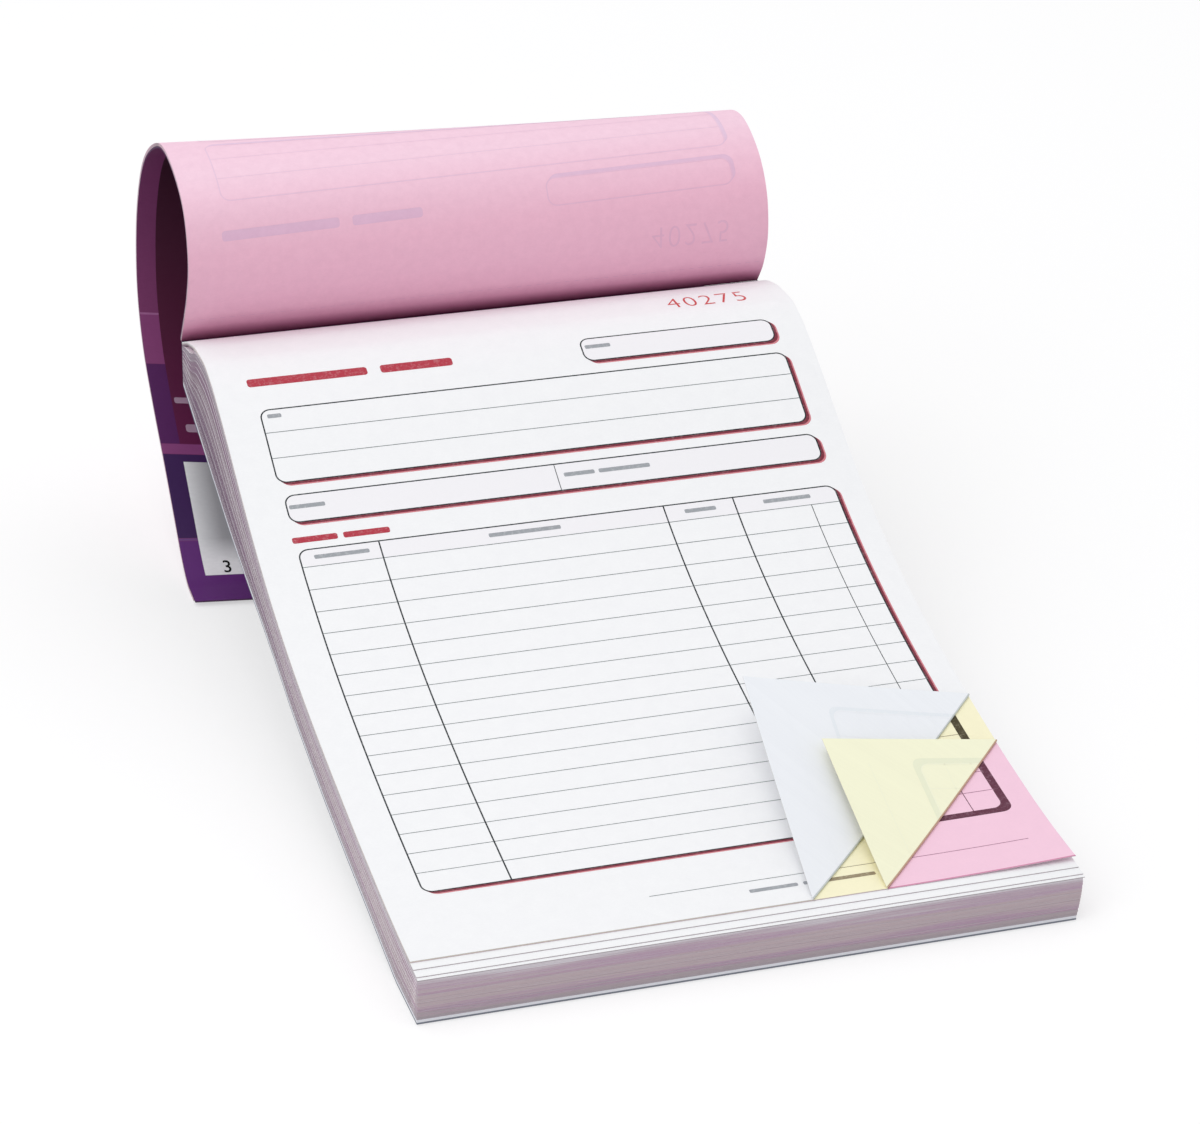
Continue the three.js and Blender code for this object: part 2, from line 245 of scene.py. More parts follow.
def srgb(red, green, blue):
    """A colour given as it shows on screen, 0 to 255."""
    def linear(value):
        share = value / 255
        return share / 12.92 if share <= 0.04045 else ((share + 0.055) / 1.055) ** 2.4
    return (linear(red), linear(green), linear(blue), 1.0)


# Colours of papers, edges and cover, and factors that tint them
WHITE = srgb(248, 249, 251)
YELLOW = srgb(253, 248, 213)
PINK = srgb(249, 208, 228)
PURE_WHITE = (1, 1, 1, 1)
PAPER_CLOUD = (0.955, 0.955, 0.96, 1)
ROLL_CLOUD = (0.97, 0.955, 0.965, 1)
# painted shade at the front of the pad's top
PAD_FOOT_PAINTED_SHADE = srgb(196, 194, 202)
EDGE_LINE = srgb(146, 126, 140)
EDGE_SPECK = srgb(228, 220, 222)
# painted shade on the pad's edges, low down by the binding
EDGE_PAINTED_SHADE = srgb(98, 78, 102)
# painted shade over the pad's sides
SIDE_PAINTED_SHADE = srgb(110, 86, 106)
# painted shadow in the gap under a loose set
SET_GAP_PAINTED_SHADOW = srgb(104, 74, 96)
SET_WORN = srgb(204, 196, 200)
BOARD_LOWER_EDGE_TONES = (srgb(100, 106, 120), srgb(136, 140, 152))
BOARD_LINER = (srgb(222, 225, 234), srgb(242, 243, 248))
# the cover's purple in painted shade deep in the loop, and lit
COVER_PURPLE_SHADED_AND_LIT = (srgb(96, 36, 84), srgb(128, 56, 108))
COVER_CLOUD = srgb(40, 16, 40)
# painted light at the panel's far end
PANEL_PAINTED_LIGHT = srgb(250, 248, 252)
TAPE_TONES = (srgb(44, 34, 70), srgb(66, 52, 96))


# Shapes of the pad and the roll

def smooth_height(points):
    """A height over Y that runs smoothly through the points and never overshoots them."""
    ys = [y for y, _ in points]
    zs = [z for _, z in points]
    steps = [after - before for before, after in zip(ys, ys[1:])]
    rises = [(after - before) / step for before, after, step in zip(zs, zs[1:], steps)]
    slopes = [rises[0]]
    for before, after in zip(rises, rises[1:]):
        slopes.append(0 if before * after <= 0 else 2 * before * after / (before + after))
    slopes.append(rises[-1])

    def height(y):
        k = min(max(bisect_right(ys, y) - 1, 0), len(steps) - 1)
        u = (y - ys[k]) / steps[k]
        start = zs[k] * (2 * u**3 - 3 * u**2 + 1) + slopes[k] * steps[k] * (u**3 - 2 * u**2 + u)
        end = zs[k + 1] * (3 * u**2 - 2 * u**3) + slopes[k + 1] * steps[k] * (u**3 - u**2)
        return start + end
    return height


page = smooth_height(PAGE)
underside = smooth_height(UNDERSIDE)


def evenly(start, end, step):
    """Values from start to end, at most step apart."""
    count = max(1, math.ceil(abs(end - start) / step - 1e-6))
    return [start + (end - start) * i / count for i in range(count + 1)]


def interpolated(xs, ys, x):
    k = min(max(bisect_right(xs, x) - 1, 0), len(xs) - 2)
    return ys[k] + (ys[k + 1] - ys[k]) * (x - xs[k]) / (xs[k + 1] - xs[k])


arc_ys = evenly(TOP_SET_FRONT, BOUND_END, SHEET_STEP / 2)
arc_lengths = [0.0]
for before, after in zip(arc_ys, arc_ys[1:]):
    arc_lengths.append(arc_lengths[-1] + math.hypot(after - before, page(after) - page(before)))


def y_along_page(s):
    return interpolated(arc_lengths, arc_ys, s)


def s_at(y):
    return interpolated(arc_ys, arc_lengths, y)


def placed(x, y, z):
    """A point given from the front of the pad, in the part's own frame."""
    return Vector((x, y - FLAT_STRIP / 2, z))


def bulge(y, height):
    far = min(1, abs(y - BULGE_CENTRE) / BULGE_REACH)
    return height * math.cos(far * math.pi / 2) ** 2


def left_edge(share):
    """The left edge of the pad's pieces at a share of its height, from the board to the page."""
    return lambda y: (LEFT_TRIM + LEFT_LEAN * share) * min(1, (BOUND_END - y) / LEFT_REACH) - HALF_WIDTH


def trimmed_edge(trim, share):
    """The right edge at a share of the height."""
    return lambda y: HALF_WIDTH - (trim + FOOT_LEAN * (1 - share)) * max(0, 1 - y / FOOT_REACH)


def full_edge(y):
    return HALF_WIDTH


def foot_of_pack(level):
    return FOOT_STEP * level**FOOT_STEP_CURVE


def catmull_rom(points):
    """A smooth outline through the points, with many samples."""
    samples = []
    last = len(points) - 1
    for k in range(last):
        p0, p1, p2, p3 = (Vector(points[min(max(k + offset, 0), last)]) for offset in (-1, 0, 1, 2))
        for i in range(CURVE_SAMPLES):
            t = i / CURVE_SAMPLES
            v1 = (p2 - p0) / 2
            v2 = (p3 - p1) / 2
            samples.append(
                (2 * p1 - 2 * p2 + v1 + v2) * t**3 + (3 * p2 - 3 * p1 - 2 * v1 - v2) * t**2 + v1 * t + p1
            )
    samples.append(Vector(points[last]))
    return samples


class RollEdge:
    """One edge outline of the roll, walked by its length."""

    def __init__(self, points):
        samples = catmull_rom(points)
        self.lengths = [0.0]
        for before, after in zip(samples, samples[1:]):
            self.lengths.append(self.lengths[-1] + (after - before).length)
        self.ys = [BOUND_END + p.x for p in samples]
        self.zs = [p.y for p in samples]
        self.length = self.lengths[-1]

    def point(self, share):
        at = share * self.length
        return Vector((interpolated(self.lengths, self.ys, at), interpolated(self.lengths, self.zs, at)))

    def inset_point(self, share, inset):
        step = 0.5 / ROLL_STEPS
        tangent = (self.point(min(share + step, 1)) - self.point(max(share - step, 0))).normalized()
        moved = self.point(share) + Vector((tangent.y, -tangent.x)) * inset
        return Vector((moved.x, max(moved.y, inset)))


roll_left = RollEdge(ROLL_LEFT)
roll_right = RollEdge(ROLL_RIGHT)


def roll_place(x, s, inset):
    """A point of the roll: x across it, s along its left edge, inset from its outer face."""
    share = min(max(s / roll_left.length, 0), 1)
    across = x / WIDTH + 0.5
    yz = roll_left.inset_point(share, inset).lerp(roll_right.inset_point(share, inset), across)
    return placed(x - TAIL_DRIFT * share**2, yz.x, yz.y)


# Meshes

def slab_faces(rows, columns):
    """Faces of a closed slab between two grids: the first grid's, the second grid's and the edges' faces."""
    def at(side, i, j):
        return (side * rows + i) * columns + j
    front, back, edges = [], [], []
    for i in range(rows - 1):
        for j in range(columns - 1):
            front.append((at(0, i, j), at(0, i, j + 1), at(0, i + 1, j + 1), at(0, i + 1, j)))
            back.append((at(1, i, j), at(1, i + 1, j), at(1, i + 1, j + 1), at(1, i, j + 1)))
        last = columns - 1
        edges.append((at(0, i, 0), at(0, i + 1, 0), at(1, i + 1, 0), at(1, i, 0)))
        edges.append((at(0, i, last), at(1, i, last), at(1, i + 1, last), at(0, i + 1, last)))
    for j in range(columns - 1):
        last = rows - 1
        edges.append((at(0, 0, j), at(1, 0, j), at(1, 0, j + 1), at(0, 0, j + 1)))
        edges.append((at(0, last, j), at(0, last, j + 1), at(1, last, j + 1), at(1, last, j)))
    return front, back, edges


def add_to_scene(name, data):
    holder = bpy.data.objects.new(name, data)
    bpy.context.scene.collection.objects.link(holder)
    return holder


def add_piece(name, mesh, body, node=None):
    piece = add_to_scene(name, mesh)
    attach(piece, body)
    if node:
        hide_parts(node)


def new_mesh(name, points, faces, materials, sides, flats):
    """A mesh with one of the materials on each face and its flat coordinates on each point."""
    mesh = bpy.data.meshes.new(name)
    mesh.from_pydata(points, [], faces)
    for material in materials:
        mesh.materials.append(material)
    mesh.polygons.foreach_set("material_index", sides)
    mesh.attributes.new("flat", "FLOAT_VECTOR", "POINT").data.foreach_set("vector", flats)
    return mesh


def sheet_piece(name, grids, materials, body, node, crease_columns=0):
    """A piece that is one slab between two grids of points, each a place with its flat x, s and level.
    The materials are those of the first grid's side, the second grid's side, the edges and, where the first
    columns form a crease, its outer side."""
    front, back = grids
    points, flats, faces, sides = [], [], [], []
    for place, flat in (point for grid in (front, back) for row in grid for point in row):
        points.append(place)
        flats.extend(flat)
    columns = len(front[0]) - 1
    for side, group in enumerate(slab_faces(len(front), len(front[0]))):
        for number, face in enumerate(group):
            faces.append(face)
            sides.append(CREASE_SIDE if side == 0 and number % columns < crease_columns else side)
    mesh = new_mesh(name, points, faces, materials, sides, flats)
    mesh.shade_smooth()
    mesh.set_sharp_from_angle(angle=SHARP_ANGLE)
    add_piece(name, mesh, body, node)


def layer_grid(start, end, height, level, share=1, right_edge=full_edge, step=SHEET_STEP):
    """One face of a layer of the pad, with its level in the pad or the sheet."""
    rows = []
    for y in evenly(start, end, step):
        xs = (left_edge(share)(y), right_edge(y))
        rows.append([(placed(x, y, height(y)), (x, s_at(y), level)) for x in xs])
    return rows


def layer(start, end, top, foot, share=1, right_edge=full_edge):
    """The upper and the lower face of a layer of the pad."""
    return [
        layer_grid(start, end, height, level, share, right_edge) for height, level in ((top, 1), (foot, 0))]


def clipped(corners, inside):
    """The part of a flat polygon where inside(corner) is positive."""
    kept = []
    for here, after in zip(corners, corners[1:] + corners[:1]):
        a, b = inside(here), inside(after)
        if a >= 0:
            kept.append(here)
        if a * b < 0:
            kept.append(here.lerp(after, a / (a - b)))
    return kept


def cut(corners, axis, step):
    """The parts of a flat shape between lines that lie a step apart along one axis."""
    lowest = math.floor(min(corner[axis] for corner in corners) / step)
    highest = math.ceil(max(corner[axis] for corner in corners) / step)
    parts = []
    for k in range(lowest, highest):
        part = clipped(corners, lambda corner: corner[axis] - k * step)
        if len(part) >= 3:
            part = clipped(part, lambda corner: (k + 1) * step - corner[axis])
        if len(part) >= 3:
            parts.append(part)
    return parts


def signed_area(corners):
    pairs = zip(corners, corners[1:] + corners[:1])
    return sum(a.x * b.y - b.x * a.y for a, b in pairs) / 2


def corner_arc(centre, radius, start, end, steps=CORNER_STEPS):
    """Points round a corner between two angles in degrees."""
    angles = (math.radians(start + (end - start) * i / steps) for i in range(steps + 1))
    return [centre + Vector((math.cos(angle), math.sin(angle))) * radius for angle in angles]


def rounded_path(left, right, foot, top, radius):
    """The outline of a box with round corners, from the middle of its top right corner clockwise."""
    centres = [
        Vector((right - radius, top - radius)), Vector((right - radius, foot + radius)),
        Vector((left + radius, foot + radius)), Vector((left + radius, top - radius)),
    ]
    path = corner_arc(centres[0], radius, 45, 0)
    path += corner_arc(centres[1], radius, 0, -90)
    path += corner_arc(centres[2], radius, -90, -135)
    turn = len(path)
    path += corner_arc(centres[2], radius, -135, -180)
    path += corner_arc(centres[3], radius, 180, 90)
    path += corner_arc(centres[0], radius, 90, 45)
    return path, turn


class Print:
    """Shapes of ink on a sheet, drawn flat: x across the sheet and s along it from its foot."""

    def __init__(self, place, inks, inside=None, seen_from_back=False):
        self.place = place
        self.inks = inks
        self.inside = inside
        self.seen_from_back = seen_from_back
        self.points = []
        self.flats = []
        self.faces = []
        self.face_inks = []

    def polygon(self, corners, ink):
        """A flat shape, cut into cells so that it follows the sheet's bends."""
        if ink not in self.inks:
            return
        for band in cut(corners, 1, INK_CELL[1]):
            for cell in cut(band, 0, INK_CELL[0]):
                if self.inside:
                    cell = clipped(cell, self.inside)
                if len(cell) >= 3 and abs(signed_area(cell)) > LEAST_INK:
                    self.face(cell, ink)

    def face(self, corners, ink):
        if (signed_area(corners) < 0) != self.seen_from_back:
            corners = corners[::-1]
        lift = TINT_LIFT if ink == "tint" else INK_LIFT
        first = len(self.points)
        for corner in corners:
            self.points.append(self.place(corner.x, corner.y, lift))
            self.flats.extend((corner.x, corner.y, 1))
        self.faces.append(tuple(range(first, first + len(corners))))
        self.face_inks.append(list(self.inks).index(ink))

    def strip(self, near, far, ink):
        """Ink between two lines that have the same number of points."""
        for k in range(len(near) - 1):
            self.polygon([near[k], near[k + 1], far[k + 1], far[k]], ink)

    def bar(self, left, right, foot, top, ink, radius=0.0):
        """A filled box, with round corners if it has a radius."""
        levels = [foot, top]
        if radius:
            angles = (math.pi / 2 * i / CORNER_STEPS for i in range(CORNER_STEPS + 1))
            turns = [radius * (1 - math.cos(angle)) for angle in angles]
            levels = [foot + turn for turn in turns] + [top - turn for turn in reversed(turns)]
        near, far = [], []
        for level in levels:
            into = max(0, radius - (level - foot), radius - (top - level))
            inset = radius - math.sqrt(max(0, radius**2 - into**2))
            near.append(Vector((left + inset, level)))
            far.append(Vector((right - inset, level)))
        self.strip(near, far, ink)

    def row(self, left, right, s, ink="row", width=ROW_LINE):
        self.bar(left, right, s - width / 2, s + width / 2, ink)

    def column(self, x, foot, top, ink="line", width=OUTLINE):
        self.bar(x - width / 2, x + width / 2, foot, top, ink)

    def box(self, left, right, foot, top, shift):
        """A thin outline with round corners and a thick shade at its foot and its right."""
        outer, turn = rounded_path(left, right, foot, top, CORNER)
        inner, _ = rounded_path(
            left + OUTLINE, right - OUTLINE, foot + OUTLINE, top - OUTLINE, CORNER - OUTLINE)
        self.strip(outer, inner, "line")
        shaded = outer[:turn]
        middle = [corner + shift * FRINGE_FROM for corner in shaded]
        self.strip(shaded, middle, "shade")
        self.strip(middle, [corner + shift for corner in shaded], "fringe")

    def digits(self, text, left, foot, height, pitch, thickening, ink):
        for k, digit in enumerate(text):
            for corners in digit_polygons(digit, height, thickening):
                self.polygon([corner + Vector((left + k * pitch, foot)) for corner in corners], ink)

    def piece(self, name, body, slot_name):
        mesh = new_mesh(name, self.points, self.faces, self.inks.values(), self.face_inks, self.flats)
        add_piece(name, mesh, body)


def digit_polygons(digit, height, thickening):
    """The faces of one plain digit of a given height, with its foot on the line."""
    curve = bpy.data.curves.new("digit", "FONT")
    curve.body = digit
    curve.resolution_u = DIGIT_STEPS
    curve.offset = thickening
    writer = bpy.data.objects.new("digit", curve)
    mesh = writer.to_mesh()
    size = height / max(vertex.co.y for vertex in mesh.vertices)
    places = [Vector((v.co.x * size * DIGIT_WIDTH, v.co.y * size)) for v in mesh.vertices]
    polygons = [[places[v] for v in face.vertices] for face in mesh.polygons]
    writer.to_mesh_clear()
    bpy.data.objects.remove(writer)
    bpy.data.curves.remove(curve)
    return polygons


def draw_form(ink, shift):
    """The whole printed form of one leaf."""
    table_top = TABLE_FOOT + ROWS * ROW_PITCH + HEADER
    for left, right, foot, top in (DATE_BOX, TERMS_BOX):
        ink.bar(left, right, foot, top, "tint", CORNER)
    ink.bar(FORM_LEFT, FORM_RIGHT, table_top - HEADER, table_top, "tint", CORNER)

    for k in range(1, ROWS + 1):
        ink.row(FORM_LEFT, FORM_RIGHT, TABLE_FOOT + k * ROW_PITCH)
    for x in COLUMNS:
        ink.column(x, TABLE_FOOT, table_top)
    ink.column(CENTS_COLUMN, TABLE_FOOT, table_top - HEADER, width=ROW_LINE)
    ink.box(FORM_LEFT, FORM_RIGHT, TABLE_FOOT, table_top, shift)

    for s in ADDRESS_LINES:
        ink.row(ADDRESS_BOX[0], ADDRESS_BOX[1], s)
    ink.column(TERMS_DIVIDER, TERMS_BOX[2], TERMS_BOX[3], width=ROW_LINE)
    for box in (ADDRESS_BOX, TERMS_BOX, DATE_BOX):
        ink.box(*box, shift)
    ink.row(*SIGN_LINE)

    for band, words in ((TITLE_BAND, TITLE_WORDS), (SMALL_HEADING_BAND, SMALL_HEADING_WORDS)):
        for left, right in words:
            ink.bar(left, right, *band, "heading", (band[1] - band[0]) * BAR_ROUNDING)
    for left, right, s in LABELS:
        foot, top = s - LABEL_HEIGHT / 2, s + LABEL_HEIGHT / 2
        ink.bar(left, right, foot, top, "label", LABEL_HEIGHT * BAR_ROUNDING)
    ink.digits(SERIAL, SERIAL_LEFT, SERIAL_FOOT, SERIAL_HEIGHT, SERIAL_PITCH, SERIAL_THICKENING, "number")


# Materials

def node_group(name, inputs, outputs):
    """A shader node group with named inputs (name, kind, value) and outputs (name, kind)."""
    tree = bpy.data.node_groups.new(name, "ShaderNodeTree")
    for label, kind, value in inputs:
        socket = tree.interface.new_socket(label, in_out="INPUT", socket_type=kind)
        if value is not None:
            socket.default_value = value
    for label, kind in outputs:
        tree.interface.new_socket(label, in_out="OUTPUT", socket_type=kind)
    return tree, tree.nodes.new("NodeGroupInput"), tree.nodes.new("NodeGroupOutput")


def add_node(tree, kind, settings=None, values=None):
    """A node with its settings, and its inputs set or linked by name or number."""
    node = tree.nodes.new(kind)
    for key, value in (settings or {}).items():
        setattr(node, key, value)
    for key, value in (values or {}).items():
        if isinstance(value, bpy.types.NodeSocket):
            tree.links.new(value, node.inputs[key])
        else:
            node.inputs[key].default_value = value
    return node


def math_node(tree, operation, first, second):
    return add_node(tree, "ShaderNodeMath", {"operation": operation}, {0: first, 1: second}).outputs[0]


def mix_colours(tree, factor, first, second, blend="MIX"):
    settings = {"data_type": "RGBA", "blend_type": blend}
    return add_node(tree, "ShaderNodeMix", settings, {0: factor, 6: first, 7: second}).outputs[2]


def multiplied(tree, first, second):
    return mix_colours(tree, 1.0, first, second, "MULTIPLY")


def map_range(tree, value, span, result=(0.0, 1.0)):
    """The value's place in the span, as a value between the two results."""
    values = {"Value": value, 1: span[0], 2: span[1], 3: result[0], 4: result[1]}
    return add_node(tree, "ShaderNodeMapRange", None, values).outputs[0]


def noise(tree, place, scale, detail, roughness=0.6):
    """Soft unevenness from 0 to 1."""
    return add_node(tree, "ShaderNodeTexNoise", None, {
        "Vector": place, "Scale": scale, "Detail": detail, "Roughness": roughness,
    }).outputs["Fac"]


def flat_place(tree):
    """The flat coordinates of a sheet or its print."""
    return add_node(tree, "ShaderNodeAttribute", {"attribute_name": "flat"}).outputs["Vector"]


def axes_of(tree, place):
    """The x, s and level of a flat place, each on its own."""
    return add_node(tree, "ShaderNodeSeparateXYZ", None, {0: place}).outputs


def colour_ramp(tree, value, stops):
    """Colours, given 0 to 255, at positions from 0 to 1."""
    node = add_node(tree, "ShaderNodeValToRGB", None, {0: value})
    elements = node.color_ramp.elements
    for k in (0, -1):
        elements[k].position = stops[k][0]
        elements[k].color = srgb(*stops[k][1])
    for position, colour in stops[1:-1]:
        elements.new(position).color = srgb(*colour)
    return node.outputs[0]


def make_paper_grain():
    """Fibres and cloudy unevenness of paper: a height for the bump and a tone from 0 to 1."""
    tree, given, result = node_group(
        "paper_grain",
        [("Coordinate", "NodeSocketVector", None), ("Fibre Scale", "NodeSocketFloat", 2600.0),
         ("Cloud Scale", "NodeSocketFloat", 260.0), ("Fibre Share", "NodeSocketFloat", 0.45),
         ("Cloud Share", "NodeSocketFloat", 0.55), ("Stretch", "NodeSocketVector", (0.45, 1, 1))],
        [("Height", "NodeSocketFloat"), ("Tone", "NodeSocketFloat")],
    )
    given = given.outputs
    stretched = add_node(
        tree, "ShaderNodeVectorMath", {"operation": "MULTIPLY"},
        {0: given["Coordinate"], 1: given["Stretch"]})
    fibres = noise(tree, stretched.outputs[0], given["Fibre Scale"], detail=3.0)
    clouds = noise(tree, given["Coordinate"], given["Cloud Scale"], detail=4.0, roughness=0.65)
    tone = math_node(
        tree, "ADD", math_node(tree, "MULTIPLY", fibres, given["Fibre Share"]),
        math_node(tree, "MULTIPLY", clouds, given["Cloud Share"]))
    tree.links.new(fibres, result.inputs["Height"])
    tree.links.new(tone, result.inputs["Tone"])
    return tree


def make_between():
    """1 where a value lies between two bounds, with soft ends."""
    tree, given, result = node_group(
        "between",
        [("Value", "NodeSocketFloat", 0.0), ("Low", "NodeSocketFloat", 0.0), ("High", "NodeSocketFloat", 1.0),
         ("Softness", "NodeSocketFloat", 0.0001)],
        [("Mask", "NodeSocketFloat")],
    )
    value, low, high, soft = (given.outputs[label] for label in ("Value", "Low", "High", "Softness"))
    above = math_node(tree, "DIVIDE", math_node(tree, "SUBTRACT", value, low), soft)
    under = math_node(tree, "DIVIDE", math_node(tree, "SUBTRACT", high, value), soft)
    both = math_node(tree, "MINIMUM", above, under)
    mask = add_node(tree, "ShaderNodeClamp", None, {"Value": both}).outputs[0]
    tree.links.new(mask, result.inputs["Mask"])
    return tree


def make_leaf_lines():
    """Streaks and fine lines of stacked leaves along their cut edges, from the flat place on them."""
    tree, given, result = node_group(
        "leaf_lines",
        [("Coordinate", "NodeSocketVector", None), ("Streaks", "NodeSocketFloat", 11.0),
         ("Leaves", "NodeSocketFloat", 140.0), ("Specks", "NodeSocketFloat", 60.0)],
        [("Streak", "NodeSocketFloat"), ("Line", "NodeSocketFloat"), ("Speckle", "NodeSocketFloat")],
    )
    axes = axes_of(tree, given.outputs["Coordinate"])
    for label, along, up, detail in (
        ("Streak", 16.0, "Streaks", 3.0), ("Line", 60.0, "Leaves", 1.0), ("Speckle", 900.0, "Specks", 2.0),
    ):
        scales = (along, along, given.outputs[up])
        place = add_node(tree, "ShaderNodeCombineXYZ", None, {
            k: math_node(tree, "MULTIPLY", axes[k], scale) for k, scale in enumerate(scales)
        }).outputs[0]
        tree.links.new(noise(tree, place, scale=1.0, detail=detail), result.inputs[label])
    return tree


PAPER_GRAIN = make_paper_grain()
BETWEEN = make_between()
LEAF_LINES = make_leaf_lines()


def new_material(name):
    material = bpy.data.materials.new(name)
    material.use_nodes = True
    tree = material.node_tree
    return material, tree, tree.nodes["Principled BSDF"]


def use_group(tree, group, values):
    return add_node(tree, "ShaderNodeGroup", {"node_tree": group}, values).outputs


def set_surface(tree, surface, colour, roughness, specular=0.5):
    """Gives a surface its colour and how it shines."""
    tree.links.new(colour, surface.inputs["Base Color"])
    surface.inputs["Roughness"].default_value = roughness
    surface.inputs["Specular IOR Level"].default_value = specular


def bump(tree, surface, height, strength, distance):
    node = add_node(
        tree, "ShaderNodeBump", None, {"Strength": strength, "Distance": distance, "Height": height})
    tree.links.new(node.outputs[0], surface.inputs["Normal"])


def finish_as_paper(tree, surface, place, colour):
    """Gives a colour the fine fibres and the slightly cloudy tone of uncoated paper."""
    grain = use_group(tree, PAPER_GRAIN, {"Coordinate": place})
    tone = map_range(tree, grain["Tone"], span=(0.3, 0.7))
    cloudy = mix_colours(tree, tone, PAPER_CLOUD, PURE_WHITE)
    set_surface(tree, surface, multiplied(tree, colour, cloudy), roughness=0.72, specular=0.2)
    bump(tree, surface, grain["Height"], strength=0.35, distance=0.00003)


def paper(name, colour):
    material, tree, surface = new_material(name)
    finish_as_paper(tree, surface, flat_place(tree), colour)
    return material


def sheet_top_paper(name, colour):
    """Paper with a grey painted shade at its foot, where the pad's top meets its front."""
    material, tree, surface = new_material(name)
    place = flat_place(tree)
    start = foot_of_pack(1) - TOP_SET_FRONT
    # painted shade along the foot of the pad's top
    foot = map_range(tree, axes_of(tree, place)[1], (start, start + PAD_FOOT_SHADE_REACH), result=(1.0, 0.0))
    finish_as_paper(tree, surface, place, mix_colours(tree, foot, colour, PAD_FOOT_PAINTED_SHADE))
    return material


def roll_paper(name, crease, pale, stain=PURE_WHITE):
    """A used leaf's outer side, or the print that shows through it: deep pink from painted shade in the
    crease, pale from painted light on top.
    """
    material, tree, surface = new_material(name)
    place = flat_place(tree)
    # painted shade in the crease turning to painted light on top, along the roll
    tone = colour_ramp(tree, map_range(tree, axes_of(tree, place)[1], (crease, pale)), ROLL_PAINTED_SHADE_AND_LIGHT)
    clouds = noise(tree, place, scale=420.0, detail=4.0, roughness=0.7)
    cloudy = mix_colours(tree, map_range(tree, clouds, span=(0.38, 0.62)), ROLL_CLOUD, PURE_WHITE)
    finish_as_paper(tree, surface, place, multiplied(tree, multiplied(tree, tone, cloudy), stain))
    return material


def ink(name, colour, under, gaps=INK_GAPS):
    """Printed ink that lets a little of the paper show in fine specks."""
    material, tree, surface = new_material(name)
    grain = use_group(
        tree, PAPER_GRAIN, {"Coordinate": flat_place(tree), "Fibre Scale": 4200.0, "Cloud Scale": 900.0})
    open_share = map_range(tree, grain["Tone"], span=(0.5, 0.68), result=(0.0, gaps))
    set_surface(tree, surface, mix_colours(tree, open_share, colour, under), roughness=0.6, specular=0.2)
    return material


def pad_edge_material():
    """The cut edges of the fresh sets: lilac and grey-beige streaks, with painted shade low down by the
    binding and over the pad's sides.
    """
    material, tree, surface = new_material("pad_edges")
    place = flat_place(tree)
    _, s, level = axes_of(tree, place)
    lines = use_group(tree, LEAF_LINES, {"Coordinate": place})
    drift = map_range(tree, lines["Streak"], span=(0.3, 0.7), result=(-0.13, 0.13))
    colour = colour_ramp(tree, math_node(tree, "ADD", level, drift), PAD_EDGE_TONES)
    lined = map_range(tree, lines["Line"], span=(0.3, 0.55), result=(0.13, 0.0))
    specked = map_range(tree, lines["Speckle"], span=(0.45, 0.7), result=(0.0, 0.15))
    # painted shade: low down towards the binding, and over the pad's sides
    low_down = map_range(tree, level, span=(0.15, 0.9), result=(0.85, 0.5))
    shaded = math_node(tree, "MULTIPLY", map_range(tree, s, BINDING_SHADE), low_down)
    on_side = map_range(tree, s, FRONT_TO_SIDE, result=(0.2, 0.38))
    for share, tone in (
        (lined, EDGE_LINE), (specked, EDGE_SPECK), (shaded, EDGE_PAINTED_SHADE), (on_side, SIDE_PAINTED_SHADE),
    ):
        colour = mix_colours(tree, share, colour, tone)
    set_surface(tree, surface, colour, roughness=0.85, specular=0.15)
    bump(tree, surface, lines["Speckle"], strength=0.2, distance=0.00005)
    return material


def set_edge_material():
    """The edge of one loose set: pale leaves over the painted shadow of the gap beneath, which deepens
    towards the binding.
    """
    material, tree, surface = new_material("set_edges")
    place = flat_place(tree)
    _, s, level = axes_of(tree, place)
    lines = use_group(tree, LEAF_LINES, {"Coordinate": place})
    colour = colour_ramp(tree, level, SET_EDGE_TONES)
    by_binding = map_range(tree, s, SET_GAP_SHADOW_SPAN, result=(0.0, 0.9))
    low_down = map_range(tree, level, span=(0.2, 0.6), result=(1.0, 0.0))
    # painted shadow in the gap under the set, deepening towards the binding
    colour = mix_colours(tree, math_node(tree, "MULTIPLY", by_binding, low_down), colour, SET_GAP_PAINTED_SHADOW)
    worn = map_range(tree, lines["Streak"], span=(0.35, 0.7), result=(0.0, 0.3))
    set_surface(tree, surface, mix_colours(tree, worn, colour, SET_WORN), roughness=0.85)
    return material


def board_edge_material():
    """The board's cut edge: a white liner in its upper part, dark grey-blue below it."""
    material, tree, surface = new_material("board_edges")
    place = flat_place(tree)
    lines = use_group(tree, LEAF_LINES, {"Coordinate": place})
    # the edge turns from dark grey-blue below to pale above, a little over a third of the way up
    liner = map_range(tree, axes_of(tree, place)[2], span=(0.34, 0.42))
    lower_tone = mix_colours(tree, lines["Speckle"], *BOARD_LOWER_EDGE_TONES)
    face = mix_colours(tree, lines["Streak"], *BOARD_LINER)
    set_surface(tree, surface, mix_colours(tree, liner, lower_tone, face), roughness=0.9)
    bump(tree, surface, lines["Speckle"], strength=0.4, distance=0.00005)
    return material


